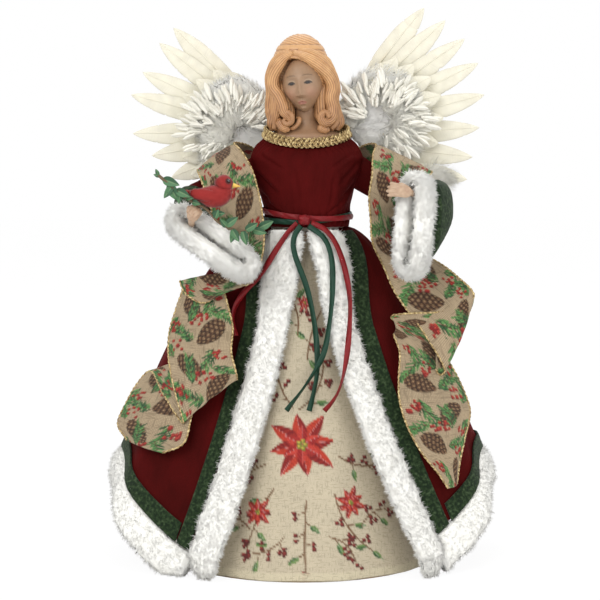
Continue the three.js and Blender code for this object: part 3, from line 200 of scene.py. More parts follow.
def tube(path, radius, sides=8, up=(0, 0, 1), flat=1.0, lobes=0, lobe_depth=0.0, twist=0.0, joined=False):
    """A closed bar along a path: an oval ring at each point, square to the path, with the up vector
    giving one axis, flat squeezing the other, and lobes round it that turn with the path."""
    path = np.asarray(path, float)
    tangent = unit(np.roll(path, -1, 0) - np.roll(path, 1, 0) if joined else np.gradient(path, axis=0))
    up = np.broadcast_to(np.asarray(up, float), path.shape)
    rise = unit(up - tangent * np.sum(up * tangent, -1, keepdims=True))
    side = np.cross(tangent, rise)
    radius = np.broadcast_to(np.asarray(radius, float), len(path))[:, None, None]
    turn = np.linspace(0, 2 * np.pi, sides, endpoint=False)[None, :, None]
    along = np.linspace(0, 1, len(path))[:, None, None]
    size = radius * (1 + lobe_depth * np.cos(lobes * turn + 2 * np.pi * twist * along))
    rings = path[:, None] + size * (np.cos(turn) * rise[:, None] + flat * np.sin(turn) * side[:, None])
    return skin(rings, joined)


def new_material(name, colour, roughness, **sockets):
    """A plain finish, with any other socket of the shader set by its name, _ standing for a space."""
    material = bpy.data.materials.new(name)
    material.use_nodes = True
    tree = material.node_tree
    shader = tree.nodes["Principled BSDF"]
    shader.inputs["Base Color"].default_value = (*colour, 1)
    shader.inputs["Roughness"].default_value = roughness
    for key, value in sockets.items():
        shader.inputs[key.replace("_", " ")].default_value = value
    return material, tree, shader


def add_node(tree, kind, settings=None, **inputs):
    """A shader node with its settings, and its inputs linked or set."""
    made = tree.nodes.new(kind)
    for key, value in (settings or {}).items():
        setattr(made, key, value)
    for key, value in inputs.items():
        socket = made.inputs[key.replace("_", " ")]
        if isinstance(value, bpy.types.NodeSocket):
            tree.links.new(value, socket)
        else:
            socket.default_value = value
    return made


def combined(tree, operation, first, second):
    """A Math node over an output and another output or a number."""
    made = add_node(tree, "ShaderNodeMath", {"operation": operation})
    tree.links.new(first, made.inputs[0])
    if isinstance(second, bpy.types.NodeSocket):
        tree.links.new(second, made.inputs[1])
    else:
        made.inputs[1].default_value = second
    return made.outputs[0]


def colour_steps(tree, factor, steps):
    """A colour ramp from pairs of place and colour."""
    ramp = add_node(tree, "ShaderNodeValToRGB", Fac=factor)
    stops = ramp.color_ramp.elements
    while len(stops) < len(steps):
        stops.new(0.5)
    for stop, (place, colour) in zip(stops, steps):
        stop.position = place
        stop.color = (*colour, 1)
    return ramp.outputs["Color"]


def add_bump(tree, shader, height, strength, depth):
    """A bump by the height, up to a depth in metres."""
    bump = add_node(tree, "ShaderNodeBump", Height=height, Strength=strength, Distance=depth)
    tree.links.new(bump.outputs["Normal"], shader.inputs["Normal"])


# Waist ribbon tails: four lengths of satin ribbon, cut square, that hang from the knot in loose
# curves over the linen and the robe.
SATIN_WIDTH = 4.5
SATIN_THICKNESS = 0.5
TAIL_ROUTES = {
    "tail_red_left": [
        (-3.4, -37.3, 247.3), (-9.4, -38.4, 241.6), (-14.4, -39.4, 234.8), (-19.4, -39.6, 227.2),
        (-24.2, -39.4, 219.4), (-28.9, -38, 212), (-33.4, -36, 206.2), (-37.6, -34.4, 202),
        (-41.4, -33.4, 198), (-44.8, -33.2, 193.4), (-47.6, -33.5, 188.6), (-49.4, -34.2, 184),
        (-50.1, -35.4, 179.6), (-49.8, -37, 175), (-48.9, -39, 170.6), (-47.8, -41.4, 166.6)],
    "tail_red_right": [
        (6.4, -37.3, 247.5), (11.6, -37.4, 245.6), (16.4, -37, 242.8), (21, -36.8, 238),
        (25.2, -36.8, 230.8), (28.7, -37.6, 221.8), (31.7, -39.8, 210.6), (33.6, -43, 200),
        (34.4, -47.2, 189.4), (34.1, -52.2, 178.6), (33.2, -57.4, 167.4), (31.9, -61.9, 156),
        (30.1, -65.4, 145.2), (27.8, -67.8, 135.6), (24.6, -69.6, 127.8), (20.4, -71, 121.6),
        (15.6, -72.2, 116.4)],
    "tail_green_left": [
        (-0.8, -38.1, 245.6), (-4, -39.2, 241.4), (-5.9, -40.4, 236.8), (-6.3, -41.9, 231.2),
        (-5, -43.7, 224.6), (-2, -45.3, 216.4), (1.4, -45.8, 207.4), (4.2, -46.2, 198.6),
        (6.3, -47, 189.8), (8, -48.6, 181), (9.4, -50.8, 172), (10.3, -53.3, 163), (10.8, -56, 154.2),
        (10.8, -58.6, 146), (10.1, -61.2, 138), (8.6, -63.7, 130.2), (6.8, -66.1, 122.6),
        (4.9, -68.2, 115.8)],
    "tail_green_right": [
        (4.5, -38.5, 245.5), (9.8, -40, 242), (14.2, -40.8, 238.6), (17.8, -41.2, 233.4),
        (20.2, -41.8, 226.8), (21.6, -43.4, 218.6), (21.9, -46.6, 207.4), (21.5, -50.5, 195.4),
        (20.4, -54, 184), (18.9, -57, 173.4), (17.2, -59.2, 163), (14.4, -61, 153.6),
        (10, -62.8, 145), (5, -64.5, 137.6), (0.6, -66, 131.2), (-3.6, -67.3, 125.8),
        (-7.8, -68.5, 120.6), (-11.2, -69.5, 116.2)],
}


def satin_material(name, dark, light):
    """Woven satin: fine ribs across the ribbon on its own map, and a soft bright sheen."""
    material, tree, shader = new_material(name, light, 0.4, Anisotropic=0.4, Specular_IOR_Level=0.25)
    place = add_node(tree, "ShaderNodeTexCoord").outputs["UV"]
    ribs = add_node(tree, "ShaderNodeTexWave", {"bands_direction": "X"}, Vector=place, Scale=500.0,
                    Distortion=0.6).outputs["Fac"]
    patches = add_node(tree, "ShaderNodeTexNoise", Vector=place, Scale=160.0, Detail=3.0).outputs["Fac"]
    shade = colour_steps(tree, combined(tree, "MULTIPLY", ribs, patches), [(0.1, dark), (0.6, light)])
    tree.links.new(shade, shader.inputs["Base Color"])
    add_bump(tree, shader, ribs, 0.25, 0.0002)
    return material


red_satin = satin_material("red_satin", (0.13, 0.005, 0.007), (0.33, 0.012, 0.015))
green_satin = satin_material("green_satin", (0.005, 0.028, 0.015), (0.014, 0.068, 0.038))


def ribbon(path, across, width, thickness):
    """A flat bar along a path: a section of eight points, thin at both edges, laid across it."""
    across = unit(across)
    out = unit(np.cross(np.gradient(path, axis=0), across))
    section = np.array([[-1, 0.3], [-0.86, 0.5], [0, 0.36], [0.86, 0.5], [1, 0.3], [1, -0.3],
                        [0, -0.5], [-1, -0.3]])
    rings = (path[:, None] + section[None, :, :1] * width / 2 * across[:, None]
             + section[None, :, 1:] * thickness * out[:, None])
    run = run_along(path) * MM
    uv = np.stack(np.broadcast_arrays(run[:, None], section[None, :, 0] * width / 2 * MM), -1)
    faces = triangles(grid_faces(len(path), len(section), wrap_columns=True))
    cap = np.array([[0, 1, 7], [1, 2, 7], [2, 6, 7], [2, 3, 6], [3, 5, 6], [3, 4, 5]])
    last = (len(path) - 1) * len(section)
    faces = np.concatenate([faces, cap[:, ::-1], cap + last])
    points = rings.reshape(-1, 3)
    return points, facing_out(points - points.mean(0), faces), uv.reshape(-1, 2)


TAIL_TWISTS = {"tail_red_left": 58, "tail_red_right": 70, "tail_green_left": 50, "tail_green_right": 68}
TAIL_STEPS = 90
for tail_name, tail_route in TAIL_ROUTES.items():
    tail_path = through(tail_route, TAIL_STEPS)
    tangents = unit(np.gradient(tail_path, axis=0))
    facing = unit(np.array([0, -1.0, 0]) + tangents * tangents[:, 1:2])
    tail_share = np.linspace(0, 1, TAIL_STEPS)[:, None]
    tail_turn = np.radians(TAIL_TWISTS[tail_name] * (0.4 + 0.6 * tail_share) * np.sin(tail_share * 8.5 + 0.6))
    tail_across = np.cross(tangents, facing) * np.cos(tail_turn) + facing * np.sin(tail_turn)
    tail_points, tail_faces, tail_uv = ribbon(tail_path, tail_across, 0.92 * SATIN_WIDTH, SATIN_THICKNESS)
    red = "red" in tail_name
    tail = piece_of(tail_name + "_ribbon", tail_points, tail_faces, red_satin if red else green_satin,
                    "red_satin" if red else "green_satin", replaces=[tail_name], uv=tail_uv)

# Card cone, body form, wires and dowel: the inner pieces keep their own shapes and get the finish
# of brown board, moulded foam, drawn wire and turned wood.


def mottled(name, colour, roughness, steps, size, grain, depth, stretch=(1, 1, 1), **sockets):
    """A finish of colour steps laid out by noise of one size in metres, with a bump of a finer grain."""
    material, tree, shader = new_material(name, colour, roughness, **sockets)
    place = add_node(tree, "ShaderNodeTexCoord").outputs["Object"]
    place = add_node(tree, "ShaderNodeMapping", Vector=place, Scale=stretch).outputs["Vector"]
    patches = add_node(tree, "ShaderNodeTexNoise", Vector=place, Scale=1 / size, Detail=5.0).outputs["Fac"]
    tree.links.new(colour_steps(tree, patches, steps), shader.inputs["Base Color"])
    fine = add_node(tree, "ShaderNodeTexNoise", Vector=place, Scale=1 / grain, Detail=3.0).outputs["Fac"]
    add_bump(tree, shader, fine, 0.6, depth)
    return material


def board_material(name, dark, light):
    """Pressed board: cloudy colour with fine fibres."""
    return mottled(name, light, 0.85, [(0.35, dark), (0.65, light)], 0.006, 0.0004, 0.0002, (1, 1, 0.4))


def dress(node, material):
    """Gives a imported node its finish."""
    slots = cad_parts[node].material_slots
    for slot in slots:
        slot.material = material
    if not slots:
        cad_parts[node].data.materials.append(material)


dress("support_cone", board_material("brown_card", (0.30, 0.19, 0.10), (0.42, 0.29, 0.17)))
dress("torso_core", board_material("moulded_foam", (0.70, 0.67, 0.60), (0.82, 0.79, 0.72)))
dress("neck_dowel", board_material("turned_wood", (0.45, 0.28, 0.13), (0.60, 0.41, 0.22)))
dress("arm_wire", mottled("drawn_wire", (0.42, 0.43, 0.44), 0.35, [
    (0.3, (0.30, 0.31, 0.32)), (0.7, (0.52, 0.53, 0.54))], 0.002, 0.0003, 0.00005, Metallic=1.0))
backing = board_material("wing_backing", (0.62, 0.60, 0.55), (0.78, 0.76, 0.70))
for node_name in ("wing_card", "wing_frame_left", "wing_frame_right"):
    dress(node_name, backing)


def around(angle, radius, z):
    """A point round the figure's axis at an angle in degrees from its front, a radius and a height."""
    turn = np.radians(angle)
    return np.stack(np.broadcast_arrays(radius * np.sin(turn), -radius * np.cos(turn), z), -1)


CLOTH_GAP = 0.5
TRIM_GAP = 0.9
SEAT_GAP = 0.35

# Underskirt: unbleached linen with printed flowers, gathered over the card cone and hemmed with a
# folded edge. The print is laid out on the cloth as it lies flat, so it keeps its shape on the cone.
CONE_HEIGHT = 240
CONE_FOOT = 100
CONE_TOP = 22
CONE_SLANT = math.hypot(CONE_FOOT, CONE_HEIGHT * CONE_FOOT / (CONE_FOOT - CONE_TOP))
LINEN_TOP = 234
LINEN_HEM = 1
LINEN_WALL = 0.6
LINEN_FOLD = 2.2
LINEN_COLOUR = (0.66, 0.575, 0.42)
HEM_FOLD_COLOUR = (0.74, 0.66, 0.47)
PETAL_COLOURS = ((0.60, 0.055, 0.025), (0.24, 0.012, 0.012))
INNER_PETAL_COLOURS = ((0.62, 0.06, 0.04), (0.33, 0.015, 0.015))
BUD_COLOURS = ((0.65, 0.50, 0.08), (0.20, 0.22, 0.04))
LEAF_COLOURS = ((0.20, 0.33, 0.10), (0.055, 0.14, 0.045))
BERRY_COLOURS = ((0.34, 0.045, 0.035), (0.11, 0.02, 0.018))
STEM_COLOUR = (0.22, 0.12, 0.06)


def wrapped(angle):
    """The same direction between -180 and 180 degrees."""
    return np.where(angle > 180, angle - 360, angle)


def cone_radius(z):
    """The card cone's radius, in a straight line from its foot to its top."""
    return mix(CONE_FOOT, CONE_TOP, z / CONE_HEIGHT)


def linen_radius(angle, z):
    """The cone's radius at that height, plus folds that deepen towards the hem."""
    fall = (LINEN_TOP - z) / LINEN_TOP
    return cone_radius(z) + CLOTH_GAP + LINEN_FOLD * fall * (0.5 - 0.5 * np.cos(np.radians(12 * angle)))


def flat_place(angle, z):
    """Where a point of the cone lies on the flat cloth: its distance from the cone's tip, turned by
    the angle times the tip's share of a full turn."""
    reach = CONE_SLANT * cone_radius(z) / CONE_FOOT
    turn = np.radians(angle) * CONE_FOOT / CONE_SLANT
    return np.stack([reach * np.sin(turn), -reach * np.cos(turn)], -1)


def way_of(aim):
    """The unit step on the flat cloth in a direction in degrees."""
    return np.array([math.cos(math.radians(aim)), math.sin(math.radians(aim))])


def lay_over(colours, near, cover, tone):
    """Mixes a tone over the colours of the points near a mark, by its cover."""
    colours[near] = mix(colours[near], np.asarray(tone), cover[:, None])


def draw_leaf(colours, place, root, aim, length, width, light_dark, vein=0.5):
    """A pointed oval from its root: lighter on one side of its vein, with paler slanted side veins."""
    offset = place - root
    near = np.flatnonzero(np.abs(offset).max(-1) < length)
    along = offset[near] @ way_of(aim) / length
    across = offset[near] @ way_of(aim + 90)
    half = width / 2 * np.sin(np.pi * np.clip(along, 0.0, 1.0) ** 0.8) + 1e-6
    cover = ease(1 - np.abs(across) / half, 0.0, 0.25) * (along > 0) * (along < 1)
    veins = np.cos(along * 30 + np.abs(across) * 3)
    tone = mix(np.array(light_dark[1]), np.array(light_dark[0]),
               (0.45 + 0.35 * np.sign(across) + 0.2 * veins)[:, None])
    lay_over(colours, near, cover, tone)
    line = cover * ease(0.35 - np.abs(across), 0, 0.25) * vein
    lay_over(colours, near, line, mix(np.array(light_dark[0]), 1, 0.35))


def draw_spot(colours, place, centre, radius, light_dark):
    """A round berry, light towards its upper left and dark at the rim."""
    offset = place - centre
    near = np.flatnonzero(np.abs(offset).max(-1) < radius * 1.3)
    reach = np.linalg.norm(offset[near], axis=-1) / radius
    lit = ease(np.linalg.norm(offset[near] / radius - (-0.3, 0.3), axis=-1), 0.9, 0.1)
    tone = mix(np.array(light_dark[1]), np.array(light_dark[0]), lit[:, None])
    lay_over(colours, near, ease(reach, 1.05, 0.9), tone)


def draw_stem(colours, place, route, width, tone):
    """A thin line along a smooth route."""
    line = through(np.column_stack([route, np.zeros(len(route))]), 24)[:, :2]
    near = np.flatnonzero(np.abs(place - line.mean(0)).max(-1) < np.ptp(line, axis=0).max())
    reach = np.full(len(near), 1e9)
    for start, end in zip(line[:-1], line[1:]):
        run = end - start
        share = np.clip((place[near] - start) @ run / (run @ run), 0, 1)
        reach = np.minimum(reach, np.linalg.norm(place[near] - start - share[:, None] * run, axis=-1))
    lay_over(colours, near, ease(reach, width * 0.7, width * 0.4), tone)


def draw_flower(colours, place, centre, size, turn):
    """A poinsettia: eight long bracts, six short ones over them, and yellow-green buds."""
    for step in range(8):
        draw_leaf(colours, place, centre, turn + 45 * step, size * (1 if step % 2 else 0.85), size * 0.44,
                  PETAL_COLOURS)
    for step in range(6):
        draw_leaf(colours, place, centre, turn + 20 + 60 * step, size * 0.55, size * 0.3, INNER_PETAL_COLOURS)
    for step in range(5):
        spot = centre + size * 0.09 * np.array([math.cos(step * 1.26), math.sin(step * 1.26)])
        draw_spot(colours, place, spot, size * 0.065, BUD_COLOURS)


def draw_spray(colours, place, root, aim, size, seed):
    """A bent stem with a twig at each step, by turns left and right. A twig ends in a leaf, or in two
    to four berries."""
    draw = np.random.default_rng(seed)
    bend = draw.uniform(-40, 40)
    way = np.radians(aim + bend * np.linspace(-0.5, 1, 6))
    steps = np.stack([np.cos(way), np.sin(way)], -1) * size / 6
    route = root + np.vstack([[0, 0], np.cumsum(steps, axis=0)])
    draw_stem(colours, place, route, 1.05, STEM_COLOUR)
    for index in range(1, 7):
        side = 1 if (index + seed) % 2 else -1
        heading = way[min(index, 5)] + side * math.radians(draw.uniform(35, 70)) * (index < 6)
        reach = np.array([math.cos(heading), math.sin(heading)])
        tip = route[index] + reach * draw.uniform(3.5, 6.5)
        draw_stem(colours, place, np.array([route[index], (route[index] + tip) / 2, tip]), 0.8, STEM_COLOUR)
        if (index + seed) % 3 == 0:
            draw_leaf(colours, place, tip, math.degrees(heading), draw.uniform(8.5, 11), 4.6, LEAF_COLOURS)
            continue
        for berry in range(int(draw.integers(2, 5))):
            turn = berry * 2.2 + seed
            spot = tip + reach * 1.5 + 2.1 * np.array([math.cos(turn), math.sin(turn)])
            draw_spot(colours, place, spot, 1.75, BERRY_COLOURS)


def linen_print(angle, z):
    """Linen with a little colour in its threads, then sprays and flowers on it, and its hem's fold."""
    place = flat_place(angle, z).reshape(-1, 2)
    cloudy = ripple(np.column_stack([place, 0 * place[:, :1]]), 9, 4)
    colours = np.tile(LINEN_COLOUR, (len(place), 1)) * (1 + 0.05 * cloudy[:, None])
    for turn, height, aim, size, seed in PLACED_SPRAYS:
        draw_spray(colours, place, flat_place(turn, height), aim, size, seed)
    for turn, height, size, spin in PLACED_FLOWERS:
        draw_flower(colours, place, flat_place(turn, height), size, spin)
    hem = (ease(z, 7.2, 6.6) * (1 - 0.3 * ease(np.abs(z - 6.4), 0.7, 0.1))).reshape(-1, 1)
    return mix(colours, np.array(HEM_FOLD_COLOUR), 0.85 * hem)


PLACED_SPRAYS = [
    # direction, height, aim, length and seed of each, round the large flower and then round the back
    (-2, 116, 58, 44, 101), (-6, 118, 112, 42, 102), (4, 150, 78, 40, 103), (-4, 168, 98, 36, 104),
    (-20, 78, 205, 34, 105), (20, 84, -12, 36, 106), (-14, 62, 242, 46, 107), (16, 58, 298, 46, 108),
    (2, 54, 268, 44, 109), (-24, 34, 150, 28, 110), (28, 36, 40, 28, 111), (-8, 30, 215, 24, 112),
    (12, 30, 330, 24, 113)]
PLACED_SPRAYS += [(turn, height, 90 - turn * 0.2 + 130 * (turn % 2), 42, 240 + turn)
                  for height in (22, 78, 134) for turn in (*range(60, 181, 23), *range(-156, -59, 23))]
PLACED_FLOWERS = [
    # direction, height, size and turn of each
    (0, 92, 27, 10), (24, 52, 13, 30), (-21, 46, 12, 0), (3, 190, 7, 12), (80, 96, 24, 5), (-90, 96, 24, 25),
    (140, 88, 24, 15), (-150, 92, 22, 0)]


def shade_paint(tree, shader, shade):
    """The paint of the piece's points, times a shade, as its colour."""
    paint = add_node(tree, "ShaderNodeVertexColor", {"layer_name": "paint"}).outputs["Color"]
    mixed = add_node(tree, "ShaderNodeMix", {"data_type": "RGBA", "blend_type": "MULTIPLY"})
    mixed.inputs[0].default_value = 1.0
    tree.links.new(paint, mixed.inputs[6])
    tree.links.new(shade, mixed.inputs[7])
    tree.links.new(mixed.outputs[2], shader.inputs["Base Color"])


WHITE = (1.0, 1.0, 1.0)


def cloth_material(name, threads, depth, roughness, sheen, gap_shade):
    """Plain weave on the piece's own map: crossed threads that show as bump and as painted shade in the gaps
    between them, and short slubs along both ways of the threads that show as fine dark flecks, all over the
    paint of its points."""
    material, tree, shader = new_material(name, (0.5, 0.4, 0.3), roughness, Sheen_Weight=sheen)
    place = add_node(tree, "ShaderNodeTexCoord").outputs["UV"]
    heights, slubs = [], []
    for axis, stretch in (("X", (0.18, 1, 1)), ("Y", (1, 0.18, 1))):
        wave = add_node(tree, "ShaderNodeTexWave", {"bands_direction": axis}, Vector=place,
                        Scale=threads, Distortion=2.2, Detail=1.0)
        heights.append(wave.outputs["Fac"])
        drawn = add_node(tree, "ShaderNodeMapping", Vector=place, Scale=stretch).outputs["Vector"]
        slub = add_node(tree, "ShaderNodeTexNoise", Vector=drawn, Scale=threads * 1.7, Detail=2.0)
        slubs.append(slub.outputs["Fac"])
    wobble = colour_steps(tree, combined(tree, "MINIMUM", *slubs),
                          [(0.37, (0.03, 0.03, 0.03)), (0.45, WHITE)])
    weave = combined(tree, "MULTIPLY", *heights)
    flecks = combined(tree, "MULTIPLY", weave, wobble)
    # Painted shade in the gaps between the threads.
    between = (gap_shade, gap_shade * 0.98, gap_shade * 0.95)
    shade_paint(tree, shader, colour_steps(tree, flecks, [(0.0, between), (0.4, WHITE)]))
    add_bump(tree, shader, weave, 0.5, depth)
    return material


def closed_wall(outer, back):
    """Points and faces of a wall of cloth: rings along its outer face, and back along its inner one."""
    closed = np.concatenate([outer, back])
    points = closed.reshape(-1, 3)
    return points, facing_out(points - points.mean(0), triangles(grid_faces(*closed.shape[:2], True, True)))


linen_heights = np.concatenate([np.linspace(LINEN_TOP, 8, 172), np.linspace(7.2, LINEN_HEM, 8)])[:, None]
linen_turns = np.concatenate([np.linspace(-50, 56, 172), np.linspace(56, 310, 66)[1:-1]])[None, :]
linen_surface = linen_radius(linen_turns, linen_heights) + LINEN_WALL
linen_surface += 0.45 * np.cos(np.radians(34 * linen_turns)) * ease(linen_heights, 175, LINEN_TOP)
hem_swell = 0.45 * ease(np.abs(linen_heights - 4), 3.2, 1.5)
linen_points = around(linen_turns, linen_surface + hem_swell, linen_heights)
linen_mesh = linen_points + 0.12 * ripple(linen_points, 6, 8)[..., None] * unit(linen_points * (1, 1, 0))
inner_rows = np.linspace(len(linen_mesh) - 1, 0, 14).astype(int)
linen_inner = linen_mesh[inner_rows] - LINEN_WALL * unit(linen_mesh[inner_rows] * (1, 1, 0))
print_turns, print_heights = np.broadcast_arrays(wrapped(linen_turns), linen_heights)
linen_flat = flat_place(print_turns, print_heights)
linen_paint = linen_print(print_turns, print_heights).reshape(*linen_mesh.shape)
underskirt = piece_of(
    "underskirt_linen", *closed_wall(linen_mesh, linen_inner),
    cloth_material("printed_linen", 660.0, 0.0001, 0.92, 0.1, 0.62), "linen", replaces=["underskirt"],
    paint=np.concatenate([linen_paint, 0 * linen_inner + LINEN_COLOUR]),
    uv=np.concatenate([linen_flat, linen_flat[inner_rows]]) * MM)

# Robe: dark red velvet, gathered at the waist and open at the front. It swells at the hips, and its
# hem is lifted at both sides. The nap shows as patches of lighter and darker pile.
WAIST = 243
WAIST_HALF_WIDTH = 33
WAIST_HALF_DEPTH = 29
HEM_FRONT_HEIGHT = 17
HEM_FRONT_RADIUS = 113
ROBE_WALL = 1.2
VELVET_DARK = (0.038, 0.0025, 0.002)
VELVET_LIGHT = (0.09, 0.0045, 0.0045)


def hem_radius(angle):
    """The hem's distance from the axis: 113 in front, 132 at the sides and 98 behind."""
    turn = np.abs(angle)
    return HEM_FRONT_RADIUS + 19 * ease(turn, 40, 75) - 34 * ease(turn, 105, 165)


def hem_height(angle):
    """The hem's height: 17 in front, 78 at the sides and 38 behind."""
    turn = np.abs(angle)
    return HEM_FRONT_HEIGHT + 61 * ease(turn, 38, 92) - 40 * ease(turn, 98, 160)


def robe_radius(angle, z):
    """The waist's oval, and from there out to the hem by a power of the share fallen, plus folds."""
    turn = np.abs(angle)
    fall = np.maximum(0, (WAIST - z) / (WAIST - hem_height(angle)))
    turned_by = np.radians(angle)
    waist = 1 / np.hypot(np.sin(turned_by) / WAIST_HALF_WIDTH, np.cos(turned_by) / WAIST_HALF_DEPTH)
    flare = 1.25 - 0.6 * ease(turn, 42, 88) + 0.35 * ease(turn, 100, 150)
    fold = 2.6 * ease(turn, 55, 80) * np.minimum(1, fall) * np.cos(np.radians(11 * angle))
    return waist + (hem_radius(angle) - waist) * fall ** flare + fold


def opening(side, z):
    """The angle of the robe's front edge at a height, drawn apart towards the waist."""
    fall = np.clip((WAIST - z) / (WAIST - HEM_FRONT_HEIGHT), 0, 1)
    apart = 13 * ease(z, 170, 240)
    return mix(-37, -44, fall) - apart if side < 0 else mix(44, 53, fall) + apart


velvet = mottled("red_velvet", VELVET_LIGHT, 0.8, [
    (0.3, VELVET_DARK), (0.5, mix(np.array(VELVET_DARK), np.array(VELVET_LIGHT), 0.5)), (0.72, VELVET_LIGHT)],
    0.03, 0.0011, 0.0003, (1, 1, 0.4), Sheen_Weight=0.15, Sheen_Roughness=0.35,
    Sheen_Tint=(0.60, 0.01, 0.01, 1), Specular_IOR_Level=0.05)
robe_shares = np.linspace(0, 1, 96)[:, None]
robe_edge_right = mix(WAIST, float(hem_height(opening(1, HEM_FRONT_HEIGHT))), robe_shares)
robe_edge_left = mix(WAIST, float(hem_height(opening(-1, HEM_FRONT_HEIGHT))), robe_shares)
robe_angles = wrapped(mix(opening(1, robe_edge_right), opening(-1, robe_edge_left) + 360,
                          np.linspace(0, 1, 250)[None, :]))
robe_heights = mix(WAIST, hem_height(robe_angles), robe_shares)
from_edge = np.minimum(np.abs(robe_angles - opening(1, robe_heights)),
                       np.abs(robe_angles - opening(-1, robe_heights)))
fold_room = ease(from_edge, 8, 20) * ease(robe_shares, 0.0, 0.12) * ease(robe_shares, 0.97, 0.86)
gathers = 0.35 * (1 + np.cos(np.radians(46 * robe_angles))) * ease(robe_shares, 0.34, 0.04) * ease(
    from_edge, 8, 16)
robe_flat = around(robe_angles, robe_radius(robe_angles, robe_heights), robe_heights)
sway = np.array([1, 1, 0.25])
soft_folds = fold_room * (1.5 * ripple(robe_flat * sway, 44, 21) + 0.8 * ripple(robe_flat * sway, 19, 22))
robe_mesh = around(robe_angles, robe_radius(robe_angles, robe_heights) + gathers + soft_folds, robe_heights)
robe = thicken(piece_of("robe_velvet", robe_mesh, triangles(grid_faces(*robe_mesh.shape[:2])[:, ::-1]),
                        velvet, "red_velvet", replaces=["robe"]), ROBE_WALL)

# Green felt bands, stitched on the robe beside its front edges and above its hem: mottled wool with a fine
# bump.
FELT_WIDTH = 9.5
FELT_THICKNESS = 1.3
BAND_COLUMNS = 14
green_felt = mottled("green_felt", (0.02, 0.04, 0.015), 0.95, [
    (0.40, (0.009, 0.019, 0.008)), (0.54, (0.020, 0.038, 0.014)), (0.70, (0.055, 0.085, 0.040))],
    0.0022, 0.0006, 0.0006, Sheen_Weight=0.08, Sheen_Roughness=0.5, Specular_IOR_Level=0.15)


def degrees_wide(width, radius):
    """The angle that a width takes up at a radius."""
    return np.degrees(width / radius)


def felt_band(node, angles, heights):
    """A band on the robe's surface, as a grid of angles and heights."""
    surface = robe_radius(angles, heights) + 0.7 + TRIM_GAP + FELT_THICKNESS / 2
    surface = surface + 0.18 * ripple(around(angles, surface, heights), 5, 31)
    points = around(angles, surface, heights)
    return thicken(piece_of(node + "_wool", points, triangles(grid_faces(*points.shape[:2])), green_felt,
                            "green_felt", replaces=[node]), FELT_THICKNESS)


def round_hem(room, along):
    """Directions round the hem, from a room in degrees past the opening's right edge to its left one."""
    start = opening(1, HEM_FRONT_HEIGHT) + room
    return wrapped(mix(start, opening(-1, HEM_FRONT_HEIGHT) - room + 360, along))


band_rows = robe_shares[:, 0] >= 0.01
for side, word, edge_heights in ((-1, "left", robe_edge_left), (1, "right", robe_edge_right)):
    start = opening(side, edge_heights[band_rows])
    band_across = np.linspace(0, 1, BAND_COLUMNS)[None, :]
    spread = degrees_wide(FELT_WIDTH, robe_radius(start, edge_heights[band_rows])) * band_across
    band_angles = (start + side * spread)[:, ::side]
    felt_band("felt_front_" + word, band_angles,
                                mix(WAIST, hem_height(band_angles), robe_shares[band_rows]))
hem_along = np.linspace(0, 1, 420)
hem_angles = round_hem(degrees_wide(FELT_WIDTH + 2 * CLOTH_GAP, HEM_FRONT_RADIUS), hem_along[None, :])
felt_shares = np.linspace(1 - FELT_WIDTH / 165, 1, BAND_COLUMNS)[:, None]
felt_band("felt_hem", np.broadcast_to(hem_angles, (BAND_COLUMNS, len(hem_along)))[::-1],
                            mix(WAIST, hem_height(hem_angles), felt_shares)[::-1])

# White fur: long-pile trim sewn into rolls, down both front edges, round the hem and on the cuffs.
# Each roll is a lumpy body with strands on it that lie the way the pile was brushed.


def grid_normals(rings, joined=False):
    """The outward direction at each point of a row of rings."""
    first = np.roll(rings, -1, 0) - np.roll(rings, 1, 0) if joined else np.gradient(rings, axis=0)
    second = np.roll(rings, -1, 1) - np.roll(rings, 1, 1)
    normals = unit(np.cross(first, second))
    outward = np.sum(normals * (rings - rings.mean(1, keepdims=True)), -1).mean()
    return normals if outward > 0 else -normals


def sample_grid(values, rows, columns, joined=False):
    """Values of a grid at places between its points, mixed from the four around each."""
    i, j = rows.astype(int), columns.astype(int)
    u, v = (rows - i)[:, None], (columns - j)[:, None]
    i2 = (i + 1) % len(values) if joined else np.minimum(i + 1, len(values) - 1)
    j2 = (j + 1) % values.shape[1]
    return (values[i, j] * (1 - u) * (1 - v) + values[i, j2] * (1 - u) * v
            + values[i2, j] * u * (1 - v) + values[i2, j2] * u * v)


def strands(roots, aims, lengths, width, seed):
    """Closed needles: three corners round each root, which meet at the tip."""
    draw = np.random.default_rng(seed)
    first = unit(np.cross(aims, draw.normal(size=aims.shape))) * width / 2
    second = np.cross(aims, first)
    corners = [first, -0.5 * first + 0.87 * second, -0.5 * first - 0.87 * second]
    points = np.stack([roots + corner for corner in corners] + [roots + aims * lengths[:, None]], 1)
    pattern = np.array([[0, 1, 3], [1, 2, 3], [2, 0, 3], [0, 2, 1]])
    faces = (np.arange(len(roots)) * 4)[:, None, None] + pattern
    return points.reshape(-1, 3), faces.reshape(-1, 3)


